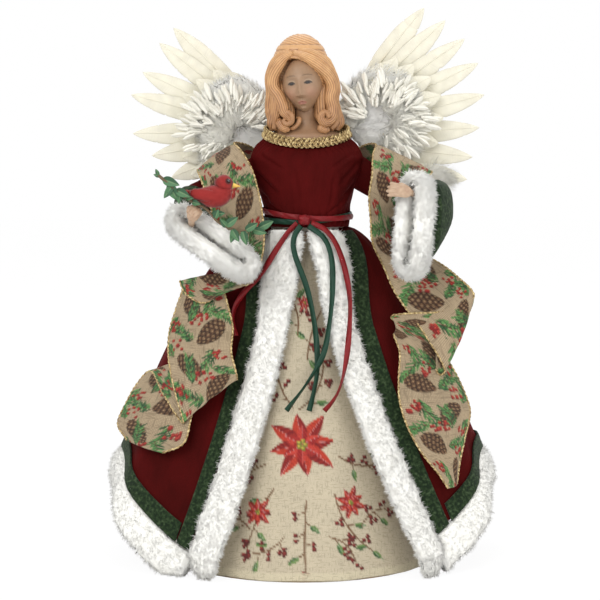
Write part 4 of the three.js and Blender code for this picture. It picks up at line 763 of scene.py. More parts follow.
def fluff(rings, joined, count, pile, lay, seed, sink=1.6, width=0.66, lump=0.9, clump=5.0, wild=0.28):
    """A roll and its strands. The roll is drawn in by sink and lumped by ripples. Each strand leaves
    along the surface's outward way plus the lay, bent by ripples of the clump's size."""
    out = grid_normals(rings, joined)
    lumps = lump * ripple(rings, 8, seed) + 0.6 * lump * ripple(rings, 3.4, seed + 1)
    body = rings + out * (lumps - sink)[..., None]
    points, faces = skin(body, joined)
    draw = np.random.default_rng(seed + 2)
    rows = draw.uniform(0, len(rings) - (0 if joined else 1) - 1e-6, count)
    columns = draw.uniform(0, rings.shape[1] - 1e-6, count)
    roots = sample_grid(body, rows, columns, joined)
    normals = unit(sample_grid(out, rows, columns, joined))
    comb = np.stack([ripple(roots, clump, seed + k) for k in (3, 4, 5)], -1)
    aims = unit(normals * 0.75 + np.asarray(lay) + 0.42 * comb + wild * draw.normal(size=roots.shape))
    lengths = pile * draw.uniform(0.55, 1.25, count) * (1 + 0.22 * ripple(roots, 7, seed + 6))
    hairs, hair_faces = strands(roots - normals * 0.3, aims, lengths, width, seed + 7)
    # The strands' roots and the roll's body are painted a little darker than the strand tips: painted shade
    # under and among the strands, with random patches from the ripple.
    root_tone = 0.955 + 0.04 * ripple(roots, 9, seed + 8)
    tones = np.repeat(root_tone, 4).reshape(-1, 4)
    tones[:, 3] = 1.0
    hair_normals = np.repeat(unit(normals + 0.35 * aims), 4, axis=0)
    body_out = unit(points - points.mean(0))
    body_out[:out.size // 3] = out.reshape(-1, 3)
    points, faces = join([(points, faces), (hairs, hair_faces)])
    points[:, 2] = np.maximum(points[:, 2], 0.2)
    tone = np.concatenate([np.full(len(body_out), 0.97), tones.ravel()])
    return points, faces, np.concatenate([body_out, hair_normals]), tone


def pile_material(name, tint, roughness=0.85):
    """Pile: the paint of its strands in slightly uneven patches, and a soft rim of light."""
    material, tree, shader = new_material(name, tint, roughness, Sheen_Weight=0.25)
    place = add_node(tree, "ShaderNodeTexCoord").outputs["Object"]
    patch = add_node(tree, "ShaderNodeTexNoise", Vector=place, Scale=120.0, Detail=4.0).outputs["Fac"]
    shade_paint(tree, shader, colour_steps(tree, patch, [(0.3, (0.96, 0.955, 0.94)), (0.6, WHITE)]))
    fine = add_node(tree, "ShaderNodeTexNoise", Vector=place, Scale=1400.0, Detail=2.0).outputs["Fac"]
    add_bump(tree, shader, fine, 0.3, 0.0003)
    return material


white_fur = pile_material("white_fur", (0.9, 0.9, 0.88))
FUR_TINT = np.array([1.0, 0.99, 0.94])
FUR_PILE = 3.5
FRONT_ROLL_DEPTH = 5


def fur_roll(node, rings, joined, count, lay, seed):
    """A fur piece from the rings of its roll."""
    points, faces, normals, tone = fluff(rings, joined, count, FUR_PILE, lay, seed)
    roll = piece_of(node + "_pile", points, faces, white_fur, "white_fur", replaces=[node], normals=normals,
                    paint=tone[:, None] * FUR_TINT)


def oval_rings(centres, first, second, columns):
    """A ring round each centre, spanned by two half axes."""
    turn = np.linspace(0, 2 * np.pi, columns, endpoint=False)[None, :, None]
    return centres[:, None] + first[:, None] * np.cos(turn) + second[:, None] * np.sin(turn)


def front_rings(side):
    """The front roll's ovals, beside the robe's edge and over the linen."""
    share = np.linspace(0, 1, 190)
    z = mix(WAIST - CLOTH_GAP, 0.8, share)
    half = mix(31, 24, z / WAIST) / 2 + 4.5 * ease(z, 170, 240)
    edge = opening(side, z)
    seat = cone_radius(z) + CLOTH_GAP + LINEN_FOLD + 2 * LINEN_WALL + FRONT_ROLL_DEPTH + SEAT_GAP
    radius = np.maximum(robe_radius(edge, np.maximum(z, HEM_FRONT_HEIGHT)) + 2.5, seat)
    angle = edge - side * degrees_wide(half + CLOTH_GAP, radius)
    ends = np.interp(share, [0, 0.03, 0.12, 0.84, 0.93, 0.975, 1], [0.8, 0.95, 1, 1, 0.93, 0.75, 0.3])
    sideways = np.stack([np.cos(np.radians(angle)), np.sin(np.radians(angle)), 0 * z], -1)
    return oval_rings(around(angle, radius, z), sideways * (half * ends)[:, None],
                      around(angle, 1.0, 0 * z) * (FRONT_ROLL_DEPTH * ends)[:, None], 40)


fur_roll("fur_front_left", front_rings(-1), False, 18500, (0.5, 0, -0.3), 41)
fur_roll("fur_front_right", front_rings(1), False, 18500, (-0.5, 0, -0.3), 51)

fur_angles = round_hem(-degrees_wide(CLOTH_GAP, HEM_FRONT_RADIUS), hem_along)
fur_top = hem_height(fur_angles) - TRIM_GAP
fur_room = np.minimum(25, fur_top - 0.8)
fur_out = around(fur_angles, 1.0, 0 * fur_angles)
fur_rise = (np.array([0, 0, 1]) - 0.3 * fur_out) * (fur_room / 2)[:, None] * 1.08
fur_centre = around(fur_angles, robe_radius(fur_angles, hem_height(fur_angles)) + 0.15 * fur_room + 1.4,
                    fur_top - fur_room / 2)
fur_roll("fur_hem", oval_rings(fur_centre, fur_rise, fur_out * 6.5, 36), False, 22500, (0, 0, -0.4), 61)

# Bodice: padded velvet over the foam body form, pulled into creases at the waist, the underarms and
# the neckline.
BODY_X = 3.5
BODY_Y = -5
BODICE_BOTTOM = 244
BODICE_HEIGHT = 65
BODICE_SHARES = [0, 0.2, 0.44, 0.64, 0.79, 0.91, 1]
BODICE_HALF_WIDTHS = [31, 32, 36, 41, 42.5, 38.5, 30.5]
BODICE_HALF_DEPTHS = [25, 26.5, 28, 27, 24, 20, 16]


def smooth_through(at, places, values):
    """A soft curve through a list of values: straight steps, rounded by a running mean."""
    fine = np.linspace(places[0], places[-1], 400)
    rough = np.pad(np.interp(fine, places, values), 14, "edge")
    return np.interp(at, fine, np.convolve(rough, np.ones(29) / 29, "valid"))


def neckline(back):
    """The neckline's slant by the sine of the direction: it dips in front and rises behind."""
    return back * 5.75 - back ** 2 * 2.75


def bodice_surface(share, turn):
    """Ovals round the leaning body, with the neckline's slant by the share to the fourth power."""
    x = BODY_X + smooth_through(share, BODICE_SHARES, BODICE_HALF_WIDTHS) * np.cos(turn)
    y = BODY_Y + smooth_through(share, BODICE_SHARES, BODICE_HALF_DEPTHS) * np.sin(turn)
    z = BODICE_BOTTOM + BODICE_HEIGHT * share + neckline(np.sin(turn)) * share ** 4
    return np.stack(np.broadcast_arrays(x, y, z), -1)


def crease(x, z, start, end, depth, width):
    """A pulled line from start to end: a sharp valley with a soft ridge along its upper side."""
    run = np.subtract(end, start)
    span = np.hypot(*run)
    along = ((x - start[0]) * run[0] + (z - start[1]) * run[1]) / span ** 2
    across = ((x - start[0]) * -run[1] + (z - start[1]) * run[0]) / span
    fade = ease(along, -0.15, 0.2) * ease(along, 1.15, 0.7)
    return fade * (-depth * np.exp(-(across / width) ** 2)
                   + 0.7 * depth * np.exp(-((across - 2.1 * width) / (1.6 * width)) ** 2))


CREASES = [
    # start, end, depth and width of each pulled line
    ((-34, 283), (-18, 268), 1.6, 1.5), ((-38, 275), (-24, 262), 1.3, 1.4),
    ((-27, 262), (-12, 252), 1.2, 1.3), ((-30, 296), (-14, 286), 1.1, 1.3),
    ((41, 290), (27, 274), 1.5, 1.5), ((44, 279), (30, 266), 1.3, 1.4),
    ((36, 297), (22, 287), 1.1, 1.3), ((12, 290), (7, 262), 0.9, 1.6), ((-6, 288), (-2, 262), 0.8, 1.6),
    ((24, 282), (20, 256), 1.0, 1.4), ((33, 266), (18, 253), 1.1, 1.2)]
bodice_share = np.linspace(0, 1, 110)[:, None]
bodice_turn = np.linspace(0, 2 * np.pi, 230, endpoint=False)[None, :]
bodice_rings = bodice_surface(bodice_share, bodice_turn)
bodice_out = grid_normals(bodice_rings)
front_side = ease(-np.sin(bodice_turn), 0.05, 0.45)
pulls = sum(crease(bodice_rings[..., 0], bodice_rings[..., 2], *line) for line in CREASES) * front_side
neck_pleats = 0.5 * np.cos(46 * bodice_turn) * ease(bodice_share, 0.8, 0.97)
waist_pleats = 0.45 * np.cos(38 * bodice_turn + 0.8) * ease(bodice_share, 0.3, 0.1)
slack = 0.9 * ripple(bodice_rings * (1, 1, 0.6), 30, 71) + 0.4 * ripple(bodice_rings, 13, 72)
ends_ease = ease(bodice_share, 0, 0.06) * ease(bodice_share, 1, 0.95)
relief = np.clip((pulls + neck_pleats + waist_pleats + slack - 0.5) * ends_ease, -3, 0.45)
bodice_points = bodice_rings + bodice_out * relief[..., None]
bodice = piece_of("bodice_velvet", *skin(bodice_points), velvet, "red_velvet", replaces=["bodice"])

# Sleeves: velvet tubes on the arm wire, round at the shoulder and flattened to a wide loop at the
# cuff, each with a green felt band before its fur.
ARM_REACH = 100
SHOULDER = np.array([3.5, -3.0, 289.0])
ARMS = {
    "left": dict(
        side=-1, cuff=(-0.665, -0.6, -0.54), along=(0.05, -0.93, 0.36), up=(-0.8, 0.17, 0.57),
        stations=[(-0.275, 0, 0), (-0.605, 0.03, -0.13), (-0.835, -0.15, -0.32)],
        ups=[(0, 0, 1), (0.25, 0, 0.97), (0, 0, 1)], hand=0.57, show=1.0, aim=(0.6, -0.2, 0.85), curl=105,
        spread=0.0),
    "right": dict(
        side=1, cuff=(0.755, -0.55, -0.42), along=(-0.45, -0.88, 0.15), up=(0.08, 0.13, 0.99),
        stations=[(0.265, 0, 0), (0.625, 0.05, -0.12), (0.935, -0.1, -0.28)],
        ups=[(0, 0, 1), (-0.25, 0, 0.97), (-0.1, 0, 0.99)], hand=0.66, show=0.29, aim=(-0.97, -0.16, 0.18),
        curl=22, spread=0.8)}
CUFF_HALF = 33
CUFF_HALF_SHORT = 8.6
CUFF_DEPTH = 22
CUFF_STEPS = 260


def cuff_axes(arm):
    """The cuff's centre and its three axes: along the arm, up the flattened loop, and across it."""
    along, up = unit(arm["along"]), unit(arm["up"])
    centre = SHOULDER + ARM_REACH * np.array(arm["cuff"])
    return centre, along, up, unit(np.cross(along, up))


def sleeve_axes(arm, count):
    """Centre, heading and half axes of the sleeve's sections at even shares."""
    centre, along, up, _ = cuff_axes(arm)
    places = [SHOULDER + ARM_REACH * np.array(p) for p in arm["stations"]]
    places.append(centre - along * (CUFF_DEPTH / 2 + CLOTH_GAP))
    lengths = np.array([11, 12.5, 15, CUFF_HALF])
    uppers = [unit(v) for v in arm["ups"]] + [up]
    middle = through(places, count, even=False)
    rise = through(np.array(uppers) * lengths[:, None], count, even=False)
    share = np.linspace(0, 1, count)[:, None]
    heading = unit(np.gradient(middle, axis=0))
    turn_in = ease(share, 0.6, 1)
    heading = unit(heading * (1 - turn_in) + along * turn_in)
    side = unit(np.cross(heading, rise))
    width = smooth_through(share[:, 0] * 3, [0, 1, 2, 3], [11, 12.5, 11, CUFF_HALF_SHORT])
    return middle, rise, side * width[:, None], share


def squared(turn, power):
    """Cosine and sine of a turn, their sizes raised to 2 over the power, which squares an oval off."""
    return [np.sign(wave) * np.abs(wave) ** (2 / power) for wave in (np.cos(turn), np.sin(turn))]


def sleeve_rings(arm, first, last, rows, columns):
    """Squared ovals of a stretch of the sleeve, hung lower under the upper arm."""
    *axes, share = sleeve_axes(arm, 241)
    pick = np.linspace(first, last, rows)
    middle, long_axis, short_axis = (
        np.stack([np.interp(pick, share[:, 0], values[:, k]) for k in range(3)], -1)[:, None]
        for values in axes)
    a, b = squared(np.linspace(0, 2 * np.pi, columns, endpoint=False)[None, :], mix(2, 3, pick)[:, None])
    a = a * (1 + 0.7 * (a < 0) * np.exp(-((pick[:, None] - 0.2) / 0.16) ** 2))
    return middle + long_axis * a[..., None] + short_axis * b[..., None]


def cloth_tube(name, rings, relief, wall, material, slot, node, lift=0.0):
    """A sleeve of cloth with an inner face: the rings moved by the relief, and the same drawn in from
    the lift, which is how far the cloth lies outside the rings."""
    out = grid_normals(rings)
    outer = rings + out * relief[..., None]
    inner = rings + out * (np.minimum(relief, lift) - wall)[..., None]
    return piece_of(name, *closed_wall(outer, inner[::-1]), material, slot, replaces=[node])


for word, arm in ARMS.items():
    rings = sleeve_rings(arm, 0.02, 0.88, 110, 96)
    share = np.linspace(0, 1, 110)[:, None]
    seed = 80 + arm["side"]
    bands = 1.1 * np.cos(share * 46 + 2.2 * ripple(rings, 26, seed)) * ease(share, 0.05, 0.25)
    folds = bands * ease(ripple(rings * (1, 1, 0.5), 34, seed + 3), -0.5, 0.8)
    relief = (folds + 1.0 * ripple(rings, 22, seed + 6) - 0.7) * ease(share, 0, 0.15) * ease(share, 1, 0.93)
    sleeve = cloth_tube("sleeve_" + word + "_velvet", rings, np.minimum(relief, 0.5), 1.2, velvet,
                        "red_velvet", "sleeve_" + word)
    band = sleeve_rings(arm, 0.66, 1.0, 44, 120)
    felt_lift = 2.0 * ease(np.linspace(0.66, 1, 44), 0.93, 0.89)[:, None]
    felt = cloth_tube("sleeve_felt_" + word + "_wool", band, felt_lift + 0.2 * ripple(band, 6, seed + 9), 1.3,
                      green_felt, "green_felt", "sleeve_felt_" + word, felt_lift)
    centre, along, up, across = cuff_axes(arm)
    a, b = squared(np.linspace(0, 2 * np.pi, CUFF_STEPS, endpoint=False)[:, None], 3.2)
    loop = centre + CUFF_HALF * 0.97 * up * a + CUFF_HALF_SHORT * 0.84 * across * b
    tangent = unit(np.roll(loop, -3, 0) - np.roll(loop, 3, 0))
    outwards = unit(np.cross(tangent, along))
    roll = oval_rings(loop, np.tile(along * CUFF_DEPTH / 2 * 1.08, (CUFF_STEPS, 1)), outwards * 7.5, 36)
    fur_roll("fur_cuff_" + word, roll, True, 13000, (0.35 * arm["side"], 0, -0.5), 90 + arm["side"])

# Waist sashes: a red and a green satin ribbon tied round the bodice, with a knot at the front.
SASH_RISE = 10.5


def sash(node, rise, material, slot, lean, lift):
    """A flat band round the waist's oval that dips to the front by the square of the sine, higher at
    one side by the lean, and lifted off the bodice."""
    turn = np.linspace(0, 2 * np.pi, 200, endpoint=False)
    dip = 2.6 * np.maximum(0, -np.sin(turn)) ** 2
    out = np.stack([np.cos(turn), np.sin(turn), 0 * turn], -1)
    across = np.linspace(-1, 1, 9)[:, None]
    swell = lift + 0.35 + 0.25 * np.cos(across * 2.2) + 0.2 * np.cos(turn * 23 + 3 * across)
    height = BODICE_BOTTOM + rise - dip + lean * np.cos(turn) + across * 0.44 * SATIN_WIDTH
    x = BODY_X + (32.6 + swell) * np.cos(turn)
    y = BODY_Y + (27.1 + swell) * np.sin(turn)
    outer = np.stack(np.broadcast_arrays(x, y, height), -1)
    points, faces = closed_wall(outer, (outer - out * SATIN_THICKNESS)[::-1])
    rise_uv = np.concatenate([across, across[::-1]]) * SATIN_WIDTH / 2 * MM
    uv = np.stack(np.broadcast_arrays(turn * 30 * MM, rise_uv), -1)
    piece_of(node + "_satin", points, faces, material, slot, replaces=[node], uv=uv)


sash("sash_red", SASH_RISE - 1, red_satin, "red_satin", -2.4, 0.9)
sash("sash_green", SASH_RISE - SATIN_WIDTH + 1, green_satin, "green_satin", 1.8, 0.0)
knot_centre = np.array([1.5, -36.2, 249.65])
knot_parts = []
for tilt, size in ((-35, 1.0), (30, 0.92), (85, 0.8)):
    wrap_turn = np.linspace(0, 2 * np.pi, 40)
    lean = math.radians(tilt)
    path = np.stack([3.4 * np.cos(wrap_turn) * math.cos(lean), 1.6 * np.sin(wrap_turn),
                     3.4 * np.cos(wrap_turn) * math.sin(lean)], -1) * size + knot_centre
    knot_parts.append(tube(path, 1.15 * np.ones(40), 12, up=(0, -1, 0.2), flat=1.7, lobes=5, lobe_depth=0.06))
knot_bar = knot_centre + np.array([[-2.6, 0, 0.5], [0, -0.6, 0], [2.6, 0, -0.4]])
knot_parts.append(tube(knot_bar, [1.9, 2.4, 1.8], 14, lobes=6, lobe_depth=0.07))
knot_points, knot_faces = join(knot_parts)
piece_of("sash_knot_satin", knot_points, knot_faces, red_satin, "red_satin", replaces=["sash_knot"],
         uv=knot_points[:, [0, 2]] * MM)

# Burlap ribbons: wired ribbon of open jute weave, printed with pinecones, pine sprigs and red berries,
# with a twisted gold wire along each edge. It loops from behind the shoulders down over the robe.
BURLAP_WIDTH = 50
JUTE_COLOUR = (0.47, 0.36, 0.23)
BURLAP_ROWS = {
    "left": [
        (-128, 1.193, 0.03, -107, 1.119, 0.65), (-108, 1.243, 0.15, -98, 1.156, 0.84),
        (-85, 1.255, 0.34, -87, 1.173, 0.88), (-63, 1.226, 0.33, -73, 1.14, 0.87),
        (-49, 1.173, 0.33, -68, 1.078, 0.81), (-40, 1.086, 0.33, -68, 1.004, 0.68),
        (-35, 1.016, 0.37, -64, 0.938, 0.47), (-32, 0.955, 0.4, -59, 0.877, 0.4),
        (-33, 0.872, 0.45, -55, 0.815, 0.52), (-37, 0.84, 0.54, -62, 0.782, 0.47),
        (-47, 0.852, 0.57, -72, 0.807, 0.48), (-52, 0.875, 0.6, -76, 0.842, 0.56),
        (-55, 0.832, 0.48, -78, 0.823, 0.42), (-51, 0.777, 0.42, -77, 0.757, 0.36),
        (-45, 0.715, 0.4, -75, 0.695, 0.34), (-42, 0.644, 0.4, -70, 0.626, 0.34),
        (-37, 0.594, 0.38, -63, 0.535, 0.34), (-36, 0.569, 0.34, -56, 0.435, 0.3),
        (-42, 0.569, 0.2, -60, 0.442, 0.19), (-56, 0.598, 0.14, -70, 0.511, 0.15),
        (-62, 0.625, 0.17, -84, 0.564, 0.18), (-55, 0.557, 0.24, -86, 0.52, 0.26),
        (-55, 0.465, 0.26, -86, 0.465, 0.3), (-54, 0.377, 0.27, -86, 0.406, 0.31),
        (-60, 0.345, 0.24, -75, 0.368, 0.24)],
    "right": [
        (126, 1.193, 0.12, 107, 1.119, 0.73), (105, 1.243, 0.26, 95, 1.156, 1.03),
        (86, 1.251, 0.42, 85, 1.169, 1.25), (67, 1.218, 0.47, 76, 1.14, 1.16),
        (56, 1.156, 0.58, 70, 1.086, 0.96), (50, 1.095, 0.63, 70, 1.016, 0.84),
        (49, 1.029, 0.68, 70, 0.963, 0.7), (48, 0.967, 0.7, 72, 0.93, 0.7),
        (60, 0.89, 0.5, 78, 0.912, 0.8), (63, 0.819, 0.42, 76, 0.885, 1.0),
        (65, 0.771, 0.4, 74, 0.855, 1.15), (68, 0.685, 0.4, 72, 0.82, 1.3),
        (70, 0.578, 0.36, 72, 0.8, 1.28), (71, 0.565, 0.22, 72, 0.785, 1.1),
        (73, 0.61, 0.13, 70, 0.757, 0.78), (70, 0.66, 0.12, 63, 0.749, 0.42),
        (62, 0.69, 0.17, 60, 0.74, 0.3), (58, 0.638, 0.3, 74, 0.65, 0.28),
        (54, 0.558, 0.28, 80, 0.575, 0.24), (52, 0.501, 0.26, 82, 0.479, 0.22),
        (52, 0.429, 0.24, 80, 0.446, 0.22), (54, 0.352, 0.22, 69, 0.375, 0.22),
        (57, 0.285, 0.22, 64, 0.308, 0.22), (58, 0.245, 0.22, 61, 0.256, 0.22)]}


def draw_cone(colours, place, centre, aim, length):
    """A pinecone: an oval of scales in crossed spiral rows, dark between them and tan at their tips."""
    offset = place - centre
    near = np.flatnonzero(np.abs(offset).max(-1) < length)
    along = offset[near] @ way_of(aim) / length
    across = offset[near] @ way_of(aim + 90) / (length * 0.33)
    half = np.sqrt(np.clip(1 - (2 * along - 0.12) ** 2, 0, 1)) * mix(1.0, 0.75, ease(along, 0, 0.5))
    cover = ease(half - np.abs(across), 0.0, 0.12)
    bulge = np.arcsin(np.clip(across / np.maximum(half, 1e-3), -1, 1))
    first, second = along * 13 + bulge * 2.2, along * 13 - bulge * 2.2
    u, v = np.abs((first / 2) % 1 - 0.5) * 2, np.abs((second / 2) % 1 - 0.5) * 2
    edge = np.minimum(u, v)
    tone = mix(np.array([0.045, 0.022, 0.012]), np.array([0.20, 0.10, 0.05]), ease(edge, 0.1, 0.5)[:, None])
    tone = mix(tone, np.array([0.50, 0.34, 0.18]), (ease(edge, 0.5, 0.85) * 0.85)[:, None])
    lay_over(colours, near, cover, tone * mix(1.0, 0.7, np.abs(across))[:, None])


def draw_needles(colours, place, root, aim, length, seed):
    """A pine sprig: a bent brown stalk and two ranks of long needles, light over dark."""
    draw = np.random.default_rng(seed)
    way = np.radians(aim + draw.uniform(-20, 20) * np.linspace(0, 1, 4))
    steps = np.stack([np.cos(way), np.sin(way)], -1) * length / 4
    route = root + np.vstack([[0, 0], np.cumsum(steps, axis=0)])
    draw_stem(colours, place, route, 0.9, (0.12, 0.06, 0.03))
    for step in np.linspace(0.0, 1, 12):
        start = np.array([np.interp(step * 4, range(5), route[:, k]) for k in range(2)])
        for side in (-1, 1):
            tones = (((0.17, 0.36, 0.11), (0.05, 0.17, 0.05)) if draw.random() < 0.6
                     else ((0.07, 0.17, 0.06), (0.02, 0.06, 0.025)))
            draw_leaf(colours, place, start, aim + side * draw.uniform(28, 46),
                      length * draw.uniform(0.36, 0.5), 1.5, tones, 0.0)


PRINT_STEP = 46
HOLLY_COLOURS = ((0.60, 0.07, 0.045), (0.24, 0.015, 0.015))
CONE_PLACES = [(10, 14, 55, 25), (35, 33, -35, 24)]
NEEDLE_PLACES = [(16, 28, 110, 18), (2, 33, 200, 17), (24, 12, 15, 18), (40, 15, -60, 18), (28, 45, 160, 16),
                 (44, 44, 40, 15)]
CLUSTER_PLACES = [(29, 8, 9), (6, 43, 8), (20, 41, 7), (45, 26, 8), (1, 20, 6)]


def ribbon_print(place, length, seed):
    """Jute colour, and the same group of pine sprigs, pinecones and berries at each step along the
    ribbon, a little turned and shifted."""
    cloudy = ripple(np.column_stack([place, 0 * place[:, :1]]), 11, seed)
    colours = np.tile(JUTE_COLOUR, (len(place), 1)) * (1 + 0.07 * cloudy[:, None])
    draw = np.random.default_rng(seed)
    for run in np.arange(-10 * (seed % 3), length, PRINT_STEP):
        for index, (x, y, aim, size) in enumerate(NEEDLE_PLACES):
            draw_needles(colours, place, np.array([run + x, y]), aim + draw.uniform(-15, 15), size,
                         seed + index)
        for x, y, aim, size in CONE_PLACES:
            draw_cone(colours, place, np.array([run + x, y]), aim + draw.uniform(-15, 15), size)
        for x, y, count in CLUSTER_PLACES:
            for _ in range(count):
                spot = np.array([run + x, y]) + draw.uniform(-4.6, 4.6, 2)
                draw_spot(colours, place, spot, draw.uniform(1.25, 1.6), HOLLY_COLOURS)
    return colours


def burlap_edge(rows, first, count, even):
    """An edge of a ribbon, from the first of three columns of its rows: direction, height over the
    waist's, and distance off the robe in ribbon widths."""
    angle, share, off = np.array(rows, float).T[first:first + 3]
    z = share * WAIST
    return through(around(angle, robe_radius(angle, z) + off * BURLAP_WIDTH, z), count, even)


burlap = cloth_material("printed_burlap", 300.0, 0.0003, 0.95, 0.05, 0.58)
for word, rows in BURLAP_ROWS.items():
    edges = [burlap_edge(rows, first, 410, False) for first in (0, 3)]
    across = np.linspace(0, 1, 58)
    ribbon_grid = mix(edges[0][:, None], edges[1][:, None], across[None, :, None])
    bow_out = unit(ribbon_grid * (1, 1, 0)) * (2.5 * np.sin(np.pi * across))[None, :, None]
    ribbon_grid = ribbon_grid + bow_out
    face = unit(np.cross(np.gradient(ribbon_grid, axis=0), np.gradient(ribbon_grid, axis=1)))
    ribbon_grid = ribbon_grid + face * 0.35 * ripple(ribbon_grid, 14, 95)[..., None]
    middle_run = run_along(ribbon_grid[:, 29])
    flat = np.stack(np.broadcast_arrays(middle_run[:, None], across[None, :] * BURLAP_WIDTH), -1)
    colours = ribbon_print(flat.reshape(-1, 2), middle_run[-1], 7 if word == "left" else 8)
    ribbon_name = "burlap_ribbon_" + word + "_weave"
    weave = thicken(piece_of(ribbon_name, ribbon_grid, triangles(grid_faces(*ribbon_grid.shape[:2])), burlap,
                             "burlap", replaces=["burlap_ribbon_" + word], paint=colours, uv=flat * MM), 0.6)

# The gold runs from a shadow brown to a bright gold in small patches of noise: painted shade and painted
# glints, laid at random.
gold_with_painted_glints = mottled("gold_wire", (0.50, 0.39, 0.20), 0.45, [
    (0.38, (0.17, 0.10, 0.035)), (0.52, (0.50, 0.36, 0.16)), (0.7, (0.78, 0.64, 0.34))],
    0.0016, 0.0005, 0.0001, Metallic=0.45)
for word, rows in BURLAP_ROWS.items():
    edges = [burlap_edge(rows, first, 900, True) for first in (0, 3)]
    wires = join([tube(edge, 0.68, 8, lobes=2, lobe_depth=0.38, twist=len(edge) / 8) for edge in edges])
    piece_of("burlap_wire_" + word, *wires, gold_with_painted_glints, "gold_braid")

# Gold braid: a flat plait of three strands, each of two metallic cords, sewn round the neckline.
PLAIT_TURNS = 17
plait_turn = np.linspace(0, 2 * np.pi, 1000, endpoint=False)
plait_back = np.sin(plait_turn)
plait_middle = np.stack([BODY_X + 31.1 * np.cos(plait_turn), BODY_Y + 16.6 * plait_back,
                         BODICE_BOTTOM + BODICE_HEIGHT + neckline(plait_back) + 4.2], -1)
plait_lean = np.stack([np.cos(plait_turn), plait_back, 0 * plait_turn], -1)
plait_width = unit(np.array([0, 0, 1]) - 0.35 * plait_lean)
plait_thick = unit(plait_lean + np.array([0, 0, 0.35]))
plait_parts = []
for strand in range(3):
    phase = PLAIT_TURNS * plait_turn + strand * 2 * np.pi / 3
    strand_path = (plait_middle + plait_width * (3.1 * np.sin(phase))[:, None]
                   + plait_thick * (0.25 + 0.62 * np.sin(2 * phase))[:, None])
    strand_run = unit(np.roll(strand_path, -1, 0) - np.roll(strand_path, 1, 0))
    strand_side = unit(np.cross(strand_run, plait_thick))
    for cord_shift in (-0.5, 0.5):
        cord_path = strand_path + strand_side * cord_shift
        plait_parts.append(tube(cord_path, 0.5, 6, up=plait_thick, lobes=2, lobe_depth=0.2, twist=125,
                                joined=True))
piece_of("neck_braid_gold", *join(plait_parts), gold_with_painted_glints, "gold_braid", replaces=["neck_braid"])

# Head: a painted casting. The face is one smooth dense skin with its features raised on it and the
# paint laid over them; the hair is a grooved cap with wavy locks that end in curls.
HEAD_HOME = np.array([3.5, -5.0, 302.0])
FACE_CENTRE = HEAD_HOME + [-3, -7, 45]
HAIR_CENTRE = np.array([-1.2, -3.0, 357.0])
# The skin tone is set darker than the paint's own, to the shade that the hair casts on the forehead: painted
# shade over the face, neck and bust.
SHADED_SKIN_COLOUR = np.array([0.335, 0.205, 0.118])


def swell(x, z, at_x, at_z, wide, high):
    """A round bump, by the squares of the distances over its half sizes."""
    return np.exp(-((x - at_x) / wide) ** 2 - ((z - at_z) / high) ** 2)


def turned(points, yaw, pitch, roll):
    """Points turned about the axes through the origin: roll about y, then pitch about x, then yaw."""
    yaw, pitch, roll = np.radians([yaw, pitch, roll])
    about_y = np.array([[math.cos(roll), 0, math.sin(roll)], [0, 1, 0], [-math.sin(roll), 0, math.cos(roll)]])
    about_x = np.array([[1, 0, 0], [0, math.cos(pitch), -math.sin(pitch)],
                        [0, math.sin(pitch), math.cos(pitch)]])
    about_z = np.array([[math.cos(yaw), -math.sin(yaw), 0], [math.sin(yaw), math.cos(yaw), 0], [0, 0, 1]])
    return points @ (about_z @ about_x @ about_y).T


def face_relief(x, z):
    """How far each part of the face stands out, in millimetres."""
    pair = np.abs(x)
    nose = 3.6 * np.exp(-(x / mix(1.5, 2.3, ease(-z, -3, 7))) ** 2) * ease(z, 7, -6.5) * ease(z, -9.4, -6.8)
    wings = 0.9 * swell(pair, z, 2.3, -7.3, 1.1, 1.1)
    brows = 0.9 * swell(pair, z, 5.6, 6.8, 4.4, 1.6)
    sockets = -1.7 * swell(pair, z, 5.9, 1.9, 3.6, 2.6)
    balls = 1.25 * swell(pair, z, 5.9, 1.6, 2.5, 1.7)
    lids = 0.35 * swell(pair, z - 0.10 * (3 - np.abs(pair - 5.9)), 5.9, 3.0, 2.8, 0.4)
    cheeks = 1.3 * swell(pair, z, 7.2, -5.5, 4.2, 4.6)
    lip_bow = z - 0.28 * np.cos(x * 1.5)
    lips = (0.9 * np.exp(-(x / 2.8) ** 4 - ((lip_bow + 11.5) / 0.8) ** 2)
            + 1.0 * np.exp(-(x / 2.5) ** 4 - ((z + 13.3) / 0.85) ** 2)
            - 0.6 * np.exp(-(x / 3.0) ** 4 - ((lip_bow + 12.45) / 0.33) ** 2))
    chin = 1.7 * swell(x, z, 0, -17.6, 3.4, 2.6) - 0.6 * swell(x, z, 0, -15.4, 3.2, 0.8)
    return nose + wings + brows + sockets + balls + lids + cheeks + lips + chin


